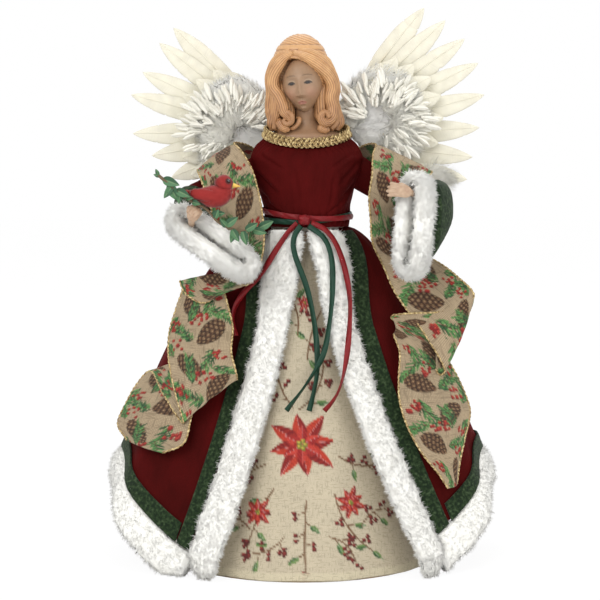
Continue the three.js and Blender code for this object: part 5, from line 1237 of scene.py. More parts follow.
def face_paint(x, z, front):
    """Skin with rosy cheeks and painted shade in the sockets, then brows, lids with a painted highlight above
    their dark line, dark eyes each with a painted highlight, lips, and painted shade at the nostrils.
    """
    pair = np.abs(x)
    colours = np.tile(SHADED_SKIN_COLOUR, (*x.shape, 1))

    def lay(cover, tone):
        """Mixes a tone over the face."""
        colours[:] = mix(colours, np.array(tone), (cover * front)[..., None])

    lay(0.6 * swell(pair, z, 7.6, -6.0, 4.4, 4.6), (0.46, 0.235, 0.15))
    # Painted shade in the eye sockets.
    lay(0.45 * swell(pair, z, 6.0, 2.8, 3.8, 2.4), (0.27, 0.18, 0.11))
    arch = z - 6.4 - 0.9 * np.cos((pair - 5.4) * 0.36)
    lay(0.7 * ease(np.abs(arch), 0.65, 0.15) * ease(np.abs(pair - 5.9), 4.2, 2.8), (0.13, 0.08, 0.04))
    almond = np.clip(1 - ((pair - 6.0) / 2.7) ** 2, 0, 1)
    upper, lower = 1.3 + 1.25 * almond, 1.3 - 0.85 * almond
    inside = ease(z, lower - 0.15, lower + 0.15) * ease(z, upper + 0.15, upper - 0.15) * (almond > 0)
    lay(inside, (0.26, 0.215, 0.165))
    iris = np.hypot((pair - 5.9) * 0.9, z - 1.5)
    lay(inside * ease(iris, 2.0, 1.6), (0.022, 0.014, 0.009))
    lay(inside * ease(iris, 0.9, 0.6), (0.006, 0.005, 0.005))
    # A painted highlight in each eye, above and to the left of its middle.
    painted_glint = np.hypot(x - np.where(x < 0, -6.3, 5.4), z - 2.0)
    lay(0.7 * ease(painted_glint, 0.35, 0.15), (0.7, 0.7, 0.66))
    lay(ease(np.abs(z - upper), 0.75, 0.3) * ease(np.abs(pair - 6.1), 3.1, 2.6), (0.035, 0.022, 0.015))
    # A painted highlight on each upper lid, just above its dark line.
    lay(0.45 * ease(np.abs(z - upper - 1.2), 0.5, 0.1) * ease(np.abs(pair - 6.1), 3.2, 2.4),
        (0.48, 0.37, 0.26))
    lay(0.35 * ease(np.abs(z - lower), 0.3, 0.1) * ease(np.abs(pair - 6.0), 2.6, 2.2), (0.22, 0.12, 0.07))
    lip_bow = z - 0.28 * np.cos(x * 1.5)
    mouth = ease(np.abs(z + 12.4) - 1.5 * np.sqrt(np.clip(1 - (x / 3.2) ** 2, 0, 1)), 0.25, -0.2)
    lay(0.7 * mouth * (np.abs(x) < 3.2), (0.40, 0.155, 0.115))
    lay(0.65 * ease(np.abs(lip_bow + 12.45), 0.36, 0.1) * ease(np.abs(x), 3.3, 2.6), (0.24, 0.075, 0.055))
    # Painted shade at the nostrils.
    lay(0.5 * swell(pair, z, 1.35, -8.6, 0.55, 0.4), (0.20, 0.10, 0.065))
    return colours


face_polar = np.linspace(0.02, np.pi - 0.02, 126)[:, None]
face_round = np.linspace(0, 2 * np.pi, 240, endpoint=False)[None, :]
local_z = 20 * np.cos(face_polar) + 0 * face_round
jaw = 1 - 0.30 * ease(-local_z, 2, 18) - 0.03 * ease(local_z, 6, 18)
local_x = 14.5 * jaw * np.sin(face_polar) * np.sin(face_round)
local_y = -17 * mix(1.0, 0.9, ease(-local_z, 4, 18)) * np.sin(face_polar) * np.cos(face_round)
front_share = ease(-local_y, 2, 9)
local_y = local_y - face_relief(local_x, local_z) * front_share
face_rings = turned(np.stack([local_x, local_y, local_z], -1), -8, 3, -6) + FACE_CENTRE
face_points, face_faces = skin(face_rings)
face_colours = face_paint(local_x, local_z, front_share).reshape(-1, 3)
face_colours = np.vstack([face_colours, np.tile(SHADED_SKIN_COLOUR, (2, 1))])
neck_rise = np.linspace(0, 1, 60)
NECK_SHARES = [0, 0.16, 0.3, 0.42, 0.53, 0.64, 1]
neck_width = smooth_through(neck_rise, NECK_SHARES, [29, 30, 27.5, 17, 10, 7.7, 7.2])
neck_depth = smooth_through(neck_rise, NECK_SHARES, [15, 15.6, 14.4, 11, 8.8, 7.5, 7.0])
neck_path = HEAD_HOME + np.stack([0.5 - 1.4 * neck_rise, 0.6 - 2.6 * neck_rise, 30 * neck_rise], -1)
neck_rings = oval_rings(neck_path, neck_width[:, None] * (1, 0, 0), neck_depth[:, None] * (0, 1, 0), 72)
neck_points, neck_faces = skin(neck_rings)
head_points, head_faces = join([(face_points, face_faces), (neck_points, neck_faces)])
# The neck and bust are painted darker than the face: painted shade under the head.
head_colours = np.vstack([face_colours, np.tile(SHADED_SKIN_COLOUR * (0.88, 0.82, 0.76), (len(neck_points), 1))])


def painted_material(name, roughness, coat, grain, depth):
    """Hand-painted resin: the paint of the points, slightly uneven, under a satin varnish."""
    material, tree, shader = new_material(name, (0.5, 0.35, 0.25), roughness, Coat_Weight=coat,
                                          Coat_Roughness=0.35)
    place = add_node(tree, "ShaderNodeTexCoord").outputs["Object"]
    patch = add_node(tree, "ShaderNodeTexNoise", Vector=place, Scale=grain, Detail=4.0).outputs["Fac"]
    shade_paint(tree, shader, colour_steps(tree, patch, [(0.3, (0.90, 0.89, 0.88)), (0.7, WHITE)]))
    add_bump(tree, shader, patch, 0.4, depth)
    return material


skin_paint = painted_material("painted_skin", 0.48, 0.048, 260.0, 0.00015)
piece_of("head_face", head_points, head_faces, skin_paint, "painted_skin", replaces=["head"],
         paint=head_colours)

HAIR_SHADE_TO_HIGHLIGHT = np.array([[0.22, 0.09, 0.035], [0.56, 0.29, 0.125], [0.86, 0.54, 0.25]])


def hair_shade_to_highlight(share):
    """Strawberry blond between the grooves, copper brown in the grooves as painted shade, and gold on the
    ridges as painted highlight.
    """
    share = np.clip(np.asarray(share, float), 0, 1)[..., None]
    low = mix(HAIR_SHADE_TO_HIGHLIGHT[0], HAIR_SHADE_TO_HIGHLIGHT[1], np.minimum(share * 2, 1))
    return mix(low, HAIR_SHADE_TO_HIGHLIGHT[2], np.clip(share * 2 - 1, 0, 1) ** 1.5)


LOCK_SIDES = 48
LOCK_STEPS = 60


def lock(route, radius, up, grooves, twist):
    """A lock of hair: a tapered bar with grooves that turn along it, and a tone for each point that is low in
    the grooves and high on the ridges and towards the top of the head, as painted shade and painted light.
    """
    share = np.linspace(0, 1, LOCK_STEPS)
    size = radius * (0.5 + 0.5 * ease(share, 0, 0.2)) * (1 - 0.6 * ease(share, 0.76, 1.0))
    points, faces = tube(through(route, LOCK_STEPS), size, LOCK_SIDES, up, 0.92, grooves, 0.08, twist)
    turn = np.linspace(0, 2 * np.pi, LOCK_SIDES, endpoint=False)[None, :]
    # Painted shade in the grooves, painted highlight on the ridges, and painted light that grows towards the
    # top of the head.
    wave = np.cos(grooves * turn + 2 * np.pi * twist * share[:, None])
    rings = points[:LOCK_STEPS * LOCK_SIDES].reshape(LOCK_STEPS, LOCK_SIDES, 3)
    cloudy = ripple(rings, 9, 5)
    lit = 0.35 * ease(rings[..., 2], 318, 372)
    tone = 0.30 + 0.30 * wave + 0.14 * cloudy + lit
    return points, faces, np.append(tone.ravel(), [0.4, 0.4])


cap_polar = np.linspace(0.02, np.pi - 0.02, 120)[:, None]
cap_round = np.linspace(0, 2 * np.pi, 170, endpoint=False)[None, :]
cap_local = np.stack([21.6 * np.sin(cap_polar) * np.sin(cap_round),
                      -21 * np.sin(cap_polar) * np.cos(cap_round),
                      27.5 * np.cos(cap_polar) + 0 * cap_round], -1)
cap_x, cap_z = cap_local[..., 0], cap_local[..., 2]
cap_groove = np.cos(3.3 * (cap_z + 0.35 * cap_x) + 1.5 * ripple(cap_local, 18, 6))
band = ease(np.abs(cap_z - 17.1), 2.2, 1.7)
band_edges = ease(np.abs(np.abs(cap_z - 17.1) - 2.0), 0.6, 0.1)
cap_rise = 0.007 * cap_groove * (1 - band) + 0.012 * band - 0.018 * band_edges
window = (cap_x + 0.28 * (cap_z + 11)) ** 2 / 14.5 ** 2 + ((cap_z + 11) / 19) ** 2
cap_local = cap_local * (1 + cap_rise[..., None])
pull = ease(window, 1.12, 0.95) * (cap_local[..., 1] < 0)
cap_local[..., 1] = mix(cap_local[..., 1], np.maximum(cap_local[..., 1], -6.0), pull)
# The cap's tone follows its relief: painted highlight on the ridges, painted shade in the grooves and in the
# dark lines at the band's edges, and a little lighter on the band.
cap_shade_tone = 0.62 + 0.25 * cap_groove * (1 - band) + 0.12 * band - 0.5 * band_edges
cap_points, cap_faces = skin(cap_local + HAIR_CENTRE)
hair_parts = [(cap_points, cap_faces, np.append(cap_shade_tone.ravel(), [0.4, 0.4]))]
LOCKS = [
    # radius of each lock, then its route from the parting down to its end
    (4.0, [(-7.0, -21, 369.8), (-12.5, -21, 366.5), (-17.5, -18.5, 360), (-20.6, -16, 352.5),
           (-20.6, -15.5, 345), (-17, -17, 339), (-14.5, -19, 333), (-13, -20, 327), (-9.5, -21, 322.5),
           (-6.8, -21, 319)]),
    (4.2, [(-8.5, -18.5, 371.0), (-14, -16.5, 368.5), (-18.4, -13.5, 362), (-21.4, -10.5, 353.5),
           (-20.4, -10, 345), (-18.5, -13, 338), (-18, -14, 330), (-19.5, -14, 322), (-20, -13, 315)]),
    (4.4, [(-10.5, -13, 370.5), (-13.8, -10.5, 368), (-18.4, -7.5, 363), (-20.8, -5, 353), (-19.6, -5, 343),
           (-18.6, -6, 334), (-19.2, -7, 325), (-20.2, -7, 316)]),
    (4.4, [(-12.8, -5, 370.5), (-15.2, -2.5, 367.5), (-18.6, 0, 362), (-20.6, 3, 353), (-19.4, 4, 342),
           (-19.6, 3, 330), (-19, 2, 319)]),
    (4.0, [(-6.3, -21.3, 369.8), (0, -22.8, 368.2), (7, -22, 364.2), (13.3, -20.3, 359.3), (18.6, -17, 353.8),
           (21.6, -15, 346), (20.2, -15, 338), (21.8, -15, 330), (21, -17, 323.5), (16.5, -19.5, 319.5),
           (13.6, -20, 323.5), (17, -21, 327.5), (20, -21.5, 323)]),
    (4.3, [(-3.0, -19.5, 371.2), (3, -19, 370.6), (10, -17, 366.8), (16, -14.5, 361), (21.4, -11.5, 353.5),
           (23.6, -10, 344), (22.2, -10, 336), (24.4, -10, 328), (24.5, -11, 320), (21, -14, 315)]),
    (4.4, [(8.2, -14.5, 370.8), (10.6, -12, 369), (13.6, -9, 366.4), (18, -6.5, 361), (21.8, -4.5, 352),
           (22.8, -3.5, 341), (22.8, -4, 332), (24.8, -5, 323), (24, -6, 315)]),
    (4.4, [(11.4, -6, 370.5), (14, -3, 367.5), (17.6, 0, 362.5), (21.4, 3.5, 351), (22.2, 5, 339),
           (22.4, 4, 328), (23, 3, 317)]),
    (2.0, [(-14, -18, 324), (-11.5, -20.5, 327), (-8, -21.5, 325), (-7.5, -21.5, 320.5), (-11, -21, 318.5),
           (-13, -20.5, 321), (-10.8, -21.5, 323.2)]),
    (1.7, [(-9, -17, 315), (-5.5, -18, 316.5), (-2.6, -18, 319.5), (-2.2, -17.5, 322.5), (-4.4, -17, 323.2)]),
    (3.2, [(-17, -16, 322), (-14, -18, 316.5), (-9, -18.5, 314)]),
    (3.0, [(18, -17, 318), (14, -17.5, 315.5), (20, -17, 314)]),
    (5.2, [(-15, -8, 350), (-12.6, -9.5, 340), (-10.6, -10, 330), (-10.4, -9.5, 317)]),
    (5.2, [(15.5, -9, 350), (14.2, -10.5, 340), (14.2, -10.5, 330), (15, -9.5, 317)]),
    (4.6, [(-18.5, -4, 326), (-16, -8, 317), (-15.5, -10, 312)]),
    (4.6, [(20, -4, 326), (19, -8, 317), (18, -10, 312)]),
    (4.4, [(-19, -3, 336), (-20.5, -4, 325), (-22.4, -5, 314)]),
    (4.6, [(21, -4, 338), (24, -5, 328), (26.4, -6, 320), (25.4, -7.5, 314)])]
for turn in range(98, 263, 23):
    heights = np.array([371, 368, 362.5, 353, 342, 331, 321, 314])
    reach = np.array([0.62, 0.74, 0.88, 1.0, 0.97, 1.03, 0.96, 0.9])
    sway = turn + 3.5 * np.sin(np.arange(8) * 1.9 + turn)
    back = around(sway, 20.5 * reach, heights) * (1.05, 0.9, 1) + HAIR_CENTRE * (1, 1, 0)
    LOCKS.append((4.6, back))
for index, (radius, route) in enumerate(LOCKS):
    facing = unit((through(route, LOCK_STEPS) - HAIR_CENTRE) * (1, 1, 0))
    hair_parts.append(lock(route, radius, facing, 13 + index % 3, 0.6 * (1 if index % 2 else -1)))
hair_points, hair_faces, hair_share = join(hair_parts)
hair_paint = painted_material("painted_hair", 0.42, 0.08, 500.0, 0.0001)
piece_of("head_hair", hair_points, hair_faces, hair_paint, "painted_resin", replaces=["head"],
         paint=hair_shade_to_highlight(hair_share))

# Hands: painted castings on wrist stems that sit in the cuffs. The left fist holds the sprig, and the
# right hand is half open.
PALM = 9.0
hand_paint = mottled("painted_hands", (0.45, 0.31, 0.21), 0.5, [
    (0.3, (0.40, 0.25, 0.16)), (0.65, (0.52, 0.37, 0.25))], 0.004, 0.0007, 0.0001, Coat_Weight=0.1)


def oval_bar(x, y, z, half_depth, half_height, columns):
    """Ovals across a bar that runs along x: half depths along y, and half heights along z."""
    centres = np.stack(np.broadcast_arrays(x, y, z), -1)
    return oval_rings(centres, half_depth[:, None] * (0, 1, 0), half_height[:, None] * (0, 0, 1), columns)


def hand_parts(arm, aim):
    """Wrist, palm, four bent fingers with knuckles and a thumb, in the hand's own axes."""
    wrist = CUFF_DEPTH + arm["show"] * PALM
    turn = np.linspace(0.05, np.pi - 0.05, 30)
    solids = [skin(oval_bar(3.6 - 5.94 * np.cos(turn), 0, 0, 2.5 * np.sin(turn) ** 0.7,
                            4.6 * np.sin(turn) ** 0.7, 30))]
    for index in range(4):
        lift = (index - 1.5) * PALM / 4.2
        length = 11 * (1 - 0.12 * abs(index - 1.3))
        share = np.linspace(0, 1, 30)
        bend = np.radians(arm["curl"] * share)
        reach = length * share
        path = np.stack([PALM * 0.6 + reach * np.cos(bend), -reach * np.sin(bend),
                         lift + arm["spread"] * reach * (index - 1.5) / 10], -1)
        knuckles = 0.10 * np.exp(-((share - 0.36) / 0.07) ** 2) + 0.08 * np.exp(-((share - 0.68) / 0.06) ** 2)
        size = 1.42 * (1 - 0.24 * share + knuckles) * (1 - 0.55 * ease(share, 0.93, 1.0))
        solids.append(tube(path, size, 16))
    thumb = np.array([[PALM * 0.1, 0, PALM * 0.3], [PALM * 0.45, -2.2, PALM * 0.5],
                      [PALM * 0.75, -4.4, PALM * 0.6]])
    solids.append(tube(through(thumb, 24), 1.45 * (1 - 0.4 * ease(np.linspace(0, 1, 24), 0.7, 1)), 16))
    axis = np.cross([1.0, 0, 0], aim)
    cosine = aim[0]
    cross = np.array([[0, -axis[2], axis[1]], [axis[2], 0, -axis[0]], [-axis[1], axis[0], 0]])
    turn_to = np.eye(3) + cross + cross @ cross / (1 + cosine)
    solids = [(points @ turn_to.T + (wrist, 0, 0), faces) for points, faces in solids]
    stem = np.array([[0.0, 0, 0], [wrist * 0.5, 0, 0], [wrist, 0, 0]])
    solids.append(tube(through(stem, 20), np.linspace(2.1, 2.5, 20), 20))
    return join(solids)


for word, arm in ARMS.items():
    centre, along, up, across = cuff_axes(arm)
    home = centre + CUFF_HALF * arm["hand"] * up - CUFF_DEPTH / 2 * along
    basis = np.stack([along, -across, up])
    points, faces = hand_parts(arm, basis @ unit(arm["aim"]))
    world = points @ basis + home
    hand = piece_of("hand_" + word + "_cast", world, faces, hand_paint, "painted_skin",
                    replaces=["hand_" + word])
    fused = hand.modifiers.new("fused", "REMESH")
    fused.mode = "VOXEL"
    fused.voxel_size = 0.38 * MM
    fused.use_smooth_shade = True
    soften = hand.modifiers.new("soften", "SMOOTH")
    soften.iterations = 4
    soften.factor = 0.5

# Wings: long goose feathers wired on a card at each side, one over the next, with short covert
# feathers, a pad and tufts of down, and small plumes over their quills. Each wing folds back on its
# own stem.
WING_REACH = 136
WING_RISE = 110.5
FEATHER_WIDTH = 19
FEATHER_FRONT = 8.6
FEATHER_STEP = 0.95
PAD_DEPTH = 3.5
STAIN_COLOUR = (0.42, 0.31, 0.12)
WINGS = {
    "left": dict(
        side=-1, tips=[(0.62, 0.87), (0.7, 0.77), (0.8, 0.58), (0.87, 0.43), (0.87, 0.17), (0.77, 0.02),
                       (0.67, -0.13)],
        roots=[(0.24, 0.34), (0.26, 0.28), (0.28, 0.22), (0.28, 0.18), (0.27, 0.12), (0.25, 0.06),
               (0.22, 0.02)],
        pad=(0.3, 0.21),
        coverts=[((0.20, 0.30), (0.30, 0.56), 17), ((0.24, 0.32), (0.40, 0.58), 17),
                 ((0.28, 0.30), (0.50, 0.52), 17), ((0.30, 0.24), (0.58, 0.42), 17),
                 ((0.32, 0.18), (0.62, 0.29), 17), ((0.32, 0.10), (0.62, 0.14), 17),
                 ((0.30, 0.03), (0.60, 0.0), 17), ((0.28, -0.03), (0.56, -0.12), 16)],
        tufts=[((0.33, 0.24), 12, (-0.35, -0.05, 0.8)), ((0.22, 0.27), 13, (-0.1, -0.05, 0.95)),
               ((0.12, 0.24), 12, (0.2, -0.05, 0.9)), ((0.40, 0.12), 12, (-0.8, -0.05, 0.5)),
               ((0.38, 0.0), 12, (-0.8, -0.05, 0.0))]),
    "right": dict(
        side=1, tips=[(0.53, 1), (0.65, 0.92), (0.76, 0.8), (0.84, 0.64), (0.88, 0.43), (0.86, 0.21),
                      (0.83, 0.01)],
        roots=[(0.22, 0.44), (0.25, 0.38), (0.27, 0.31), (0.28, 0.24), (0.28, 0.17), (0.26, 0.1),
               (0.24, 0.03)],
        pad=(0.32, 0.28),
        coverts=[((0.08, 0.12), (0.10, 0.38), 13), ((0.12, 0.16), (0.17, 0.46), 14),
                 ((0.17, 0.2), (0.25, 0.52), 14), ((0.2, 0.32), (0.3, 0.62), 17),
                 ((0.25, 0.36), (0.38, 0.66), 17), ((0.3, 0.36), (0.48, 0.62), 17),
                 ((0.34, 0.34), (0.58, 0.54), 17), ((0.36, 0.28), (0.64, 0.42), 17),
                 ((0.36, 0.2), (0.66, 0.27), 17), ((0.36, 0.12), (0.64, 0.1), 17),
                 ((0.42, -0.1), (0.80, -0.15), 15)],
        tufts=[((0.40, 0.34), 12, (0.5, -0.05, 0.7)), ((0.46, 0.20), 12, (0.8, -0.05, 0.3)),
               ((0.42, 0.06), 12, (0.8, -0.05, 0.0)), ((0.12, 0.22), 11, (-0.1, -0.05, 0.9)),
               ((0.62, -0.18), 9, (0.7, -0.05, -0.2))])}
IVORY = np.array([0.83, 0.795, 0.66])
QUILL = np.array([0.56, 0.47, 0.28])


def feather_parts(length, width, lead, camber, seed, rows=80, columns=15):
    """A vane and its shaft, in the feather's own axes. The half width grows from the root, holds, and
    closes at the tip by a power of one less a power of the share left; short splits part its edges."""
    share = np.linspace(0, 1, rows)[:, None]
    c = np.concatenate([np.linspace(-1, 1, columns), np.linspace(1, -1, columns)])[None, :]
    face_side = np.concatenate([np.ones(columns), -np.ones(columns)])[None, :]
    tip = np.clip((share - 0.5) / 0.5, 0, 1)
    half = width / 2 * (1 - tip ** 2.2) ** 0.8 * mix(0.45, 0.88, ease(share, -0.05, 0.35))
    draw = np.random.default_rng(seed)
    splits = sum(0.10 * np.exp(-((share - at) / 0.007) ** 2) for at in draw.uniform(0.12, 0.85, 3))
    ragged = 0.012 * np.cos(share * 260 + draw.uniform(0, 6)) + splits * draw.uniform(0.4, 1)
    reach = half * (np.where(c * lead > 0, 0.85, 1.15) * c) * (1 - np.abs(c) ** 3 * ragged)
    slant = np.abs(reach) * 0.4 * ease(share, 0.97, 0.5)
    x = length * share + slant - 2.0 * np.abs(c) * ease(share, 0.12, 0)
    bend = -lead * width * 0.25 * share ** 2
    barb = 0.06 * np.cos(length * share * 2.9)
    curl = 0.35 * (c ** 2) * ease(share, 0.1, 0.5)
    y = -camber * share ** 2 + curl - face_side * 0.16 + barb * face_side
    rings = np.stack(np.broadcast_arrays(np.minimum(x, length), y, bend + reach), -1)
    points, faces = skin(rings)
    root_tone = ease(share + 0.05 * np.abs(c), 0.34, 0.02)
    # Fine barb lines and random patches, with painted shade in the splits and along the vane's outer edges.
    streak_and_shade = (1 - 0.03 * (0.5 + 0.5 * np.cos(length * share * 2.9)) - 0.3 * splits
              - 0.10 * np.abs(c) ** 6 + 0.05 * ripple(rings, 9, seed))
    tone = mix(IVORY, np.array([0.72, 0.66, 0.46]), (0.75 * root_tone)[..., None]) * streak_and_shade[..., None]
    tone = np.vstack([np.broadcast_to(tone, (*rings.shape[:2], 3)).reshape(-1, 3), QUILL, IVORY])
    line = np.linspace(0, 1, rows * 3 // 4)
    shaft_path = np.stack([length * (line - 0.10 * (1 - line)), -camber * line ** 2 - 0.15,
                           -lead * width * 0.25 * line ** 2], -1)
    shaft, shaft_faces = tube(shaft_path, mix(0.85, 0.18, line), 8, up=(0, 1, 0), flat=1.1)
    shaft_tone = mix(QUILL, IVORY * 0.97, ease(line, 0.05, 0.6)[:, None])
    shaft_tone = np.vstack([np.repeat(shaft_tone, 8, axis=0), QUILL, IVORY])
    return join([(points, faces, tone), (shaft, shaft_faces, shaft_tone)])


feather_finish = pile_material("goose_feather", (0.9, 0.87, 0.78), 0.6)
down_finish = pile_material("feather_down", (0.85, 0.84, 0.82))


def placed_feather(root, tip, width, lead, camber, seed, *grid):
    """A feather laid from its root to its tip, in the wing's own plane."""
    run = np.subtract(tip, root)
    run[1] = 0
    length = np.linalg.norm(run)
    cosine, sine = run[0] / length, run[2] / length
    points, faces, tone = feather_parts(length, width, lead, camber, seed, *grid)
    x = points[:, 0] * cosine - points[:, 2] * sine
    z = points[:, 0] * sine + points[:, 2] * cosine
    return np.stack([x, points[:, 1], z], -1) + root, faces, tone


for word, wing in WINGS.items():
    side = wing["side"]
    home = np.array([3.5 + side * 12, 26.85, 298.0])
    body = "wing_" + word

    def at(place, depth):
        """A place on the wing from its shares outwards and up, at a depth in front of its card."""
        return home + np.array([side * place[0] * WING_REACH, depth, place[1] * WING_RISE])

    for index in range(7):
        depth = FEATHER_FRONT - FEATHER_STEP * index
        points, faces, tone = placed_feather(at(wing["roots"][index], depth), at(wing["tips"][index], depth),
                                             FEATHER_WIDTH, side, 5.0, 200 + index + 20 * side)
        stain = unit(np.array([0.55, 0.0, 0.83]))
        away = points - (82, points[:, 1].mean(), 336)
        along = away @ stain
        across = np.linalg.norm(away * (1, 0, 1) - along[:, None] * stain, axis=1)
        stained = 0.6 * np.exp(-(along / 7) ** 2 - (across / 1.3) ** 2)
        tone = mix(tone, np.array(STAIN_COLOUR), stained[:, None])
        piece_of("feather_%s_%d" % (word, index + 1), points, faces, feather_finish, "feather", body,
                 replaces=["primary_%s_%d" % (word, index + 1)], paint=tone)
    covert_parts = []
    for index, (root, tip, width) in enumerate(wing["coverts"]):
        depth = 1.9 - 0.35 * index
        covert_parts.append(placed_feather(at(root, depth), at(tip, depth), width, side, 3.0,
                                           300 + index + 20 * side))
    points, faces, tone = join(covert_parts)
    piece_of("covert_feathers_" + word, points, faces, feather_finish, "feather", body, paint=tone)
    nestle = 0.1 if side < 0 else 0.55
    centre = at(wing["pad"], FEATHER_FRONT - FEATHER_STEP * 6 - PAD_DEPTH + nestle)
    angle = np.linspace(0.06, np.pi - 0.06, 50)
    pad_rings = oval_bar(centre[0] - 0.21 * WING_REACH * np.cos(angle), centre[1], centre[2],
                         PAD_DEPTH * np.sin(angle), 0.29 * WING_RISE * np.sin(angle), 70)
    points, faces, normals, tone = fluff(pad_rings, False, 8000, 7.0, (0.6 * side, 0, 0.35),
                                         400 + side, sink=1.2, width=0.6, lump=0.6, clump=7.0, wild=0.22)
    # The down is painted grey towards the pad's middle and cream towards its rim: painted shade in the middle
    # of the down.
    inward = np.hypot((points[:, 0] - centre[0] + 5) / 19, (points[:, 2] - centre[2] + 7) / 14)
    tint = mix(np.array([0.99, 0.98, 0.93]), np.array([0.86, 0.85, 0.82]), ease(inward, 1.3, 0.3)[:, None])
    pad = piece_of("down_" + word, points, faces, down_finish, "down", body,
                   replaces=["covert_pad_" + word], normals=normals, paint=tone[:, None] * tint)
    plume_draw = np.random.default_rng(480 + side)
    plumes = []
    for index in range(130):
        aim = math.radians(plume_draw.uniform(-80, 175) if side > 0 else plume_draw.uniform(5, 260))
        way = np.array([math.cos(aim), 0, math.sin(aim)])
        root = centre + way * (16, 0, 14) * plume_draw.uniform(0.8, 2.0) + (-2 + side * 3, 0, -7)
        root[1] = centre[1] - plume_draw.uniform(5.5, 10.5)
        aim += math.radians(plume_draw.uniform(-24, 24))
        reach = plume_draw.uniform(7, 13)
        tip = root + reach * np.array([math.cos(aim), 0, math.sin(aim)])
        points, faces, _ = placed_feather(root, tip, reach * 0.36, side, 2.5, 500 + index, 11, 4)
        plumes.append((points, faces, np.full(len(points), plume_draw.uniform(0.9, 1.0))))
    points, faces, tone = join(plumes)
    piece_of("plumes_" + word, points, faces, feather_finish, "feather", body,
             paint=tone[:, None] * (0.95, 0.93, 0.84))
    tuft_parts = []
    for index, (place, size, lay) in enumerate(wing["tufts"]):
        middle = at(place, -3.0)
        tuft_rings = oval_bar(middle[0] - size * np.cos(angle), middle[1], middle[2], 2.4 * np.sin(angle),
                              0.9 * size * np.sin(angle), 30)
        tuft_parts.append(fluff(tuft_rings, False, 1600, 10.5, lay, 450 + index + 10 * side, sink=0.6,
                                width=0.45, lump=0.5, clump=6.0, wild=0.4))
    points, faces, normals, tone = join(tuft_parts)
    piece_of("down_tufts_" + word, points, faces, down_finish, "down", body, normals=normals,
             paint=tone[:, None] * (0.97, 0.95, 0.86))

# Cardinal-red bird: a flocked foam body with short fuzz, folded wings, bead eyes in dark rings and a
# yellow beak. It perches on the sprig over the left hand.
BIRD_HOME = np.array([-63.0, -82.0, 268.0])
BIRD_ROWS = np.array([
    [-0.52, 0.75, 0.16, 0.42], [-0.38, 0.5, 0.24, 0.45], [-0.26, 0.24, 0.5, 0.52], [-0.12, 0.02, 0.86, 0.8],
    [0.03, -0.06, 1.02, 0.96], [0.17, -0.04, 0.98, 0.94], [0.29, 0.08, 0.78, 0.76], [0.37, 0.18, 0.42, 0.44]])
BIRD_HEAD = np.array([9.75, 0.0, 7.79])


def bird_place(points):
    """From the bird's own axes to its place, tilted six degrees up at the beak."""
    return turned(points, 0, 0, -6) + BIRD_HOME


bird_share = np.linspace(0, 7, 70)
bird_x, bird_z, bird_high, bird_wide = (smooth_through(bird_share, np.arange(8), row) for row in BIRD_ROWS.T)
bird_body = oval_bar(39 * bird_x, 0, 8.2 * bird_z, 8.0 * bird_wide, 8.0 * bird_high, 60)
ball_turn = np.linspace(0.08, np.pi - 0.08, 50)
bird_head = oval_bar(BIRD_HEAD[0] - 6.5 * np.cos(ball_turn), BIRD_HEAD[1], BIRD_HEAD[2],
                     5.9 * np.sin(ball_turn), 6.5 * np.sin(ball_turn), 60)
wing_turn = np.linspace(0.1, np.pi - 0.1, 40)
bird_wings = [
    oval_bar(-3.0 + 11.5 * np.cos(wing_turn), side * 5.6, 1.2 - 2.6 * np.cos(wing_turn),
             side * 2.4 * np.sin(wing_turn), 4.6 * np.sin(wing_turn) ** 0.8, 40) for side in (-1, 1)]
bird_parts = []
for rings, count, seed in ((bird_body, 5000, 501), (bird_head, 2400, 511), (bird_wings[0], 1400, 521),
                           (bird_wings[1], 1800, 531)):
    bird_parts.append(fluff(bird_place(rings), False, count, 1.15, (-0.5, 0, -0.2), seed, sink=0.5,
                            width=0.36, lump=0.22, clump=3.0, wild=0.35))
bird_points, bird_faces, bird_normals, bird_tone = join(bird_parts)
eye_seats = [bird_place(BIRD_HEAD + unit([0.55, side * 0.8, 0.25]) * (6.6, 5.94, 6.6)) for side in (1, -1)]
ring_cover = sum(ease(np.linalg.norm(bird_points - seat, axis=1), 2.9, 1.7) for seat in eye_seats)
beak_seat = bird_place(BIRD_HEAD + np.array([6.2, 0, -1.4]))
mask_cover = ease(np.linalg.norm(bird_points - beak_seat, axis=1), 3.6, 2.2)
# The red runs from dark at the fuzz's roots to light at its tips: painted shade at the roots and painted
# light on the tips, with random patches.
bird_red = mix(np.array([0.17, 0.004, 0.003]), np.array([0.32, 0.009, 0.006]),
               ease(bird_tone, 0.9, 1.0)[:, None])
dark_cover = np.clip(ring_cover + 0.6 * mask_cover, 0, 0.9)[:, None]
flock = pile_material("red_flock", (0.7, 0.03, 0.02), 0.8)
piece_of("bird_flock", bird_points, bird_faces, flock, "red_flock", replaces=["bird_body"],
         normals=bird_normals, paint=mix(bird_red, np.array([0.05, 0.012, 0.01]), dark_cover))
dress("bird_beak", mottled("beak_paint", (0.80, 0.50, 0.06), 0.4, [
    (0.3, (0.62, 0.33, 0.04)), (0.7, (0.85, 0.58, 0.12))], 0.0015, 0.0003, 0.00005, Coat_Weight=0.2))
bead = mottled("bead_eye", (0.012, 0.009, 0.008), 0.08, [
    (0.3, (0.008, 0.006, 0.006)), (0.7, (0.02, 0.014, 0.012))], 0.001, 0.0004, 0.00001, Coat_Weight=1.0)
dress("bird_eye_left", bead)
dress("bird_eye_right", bead)

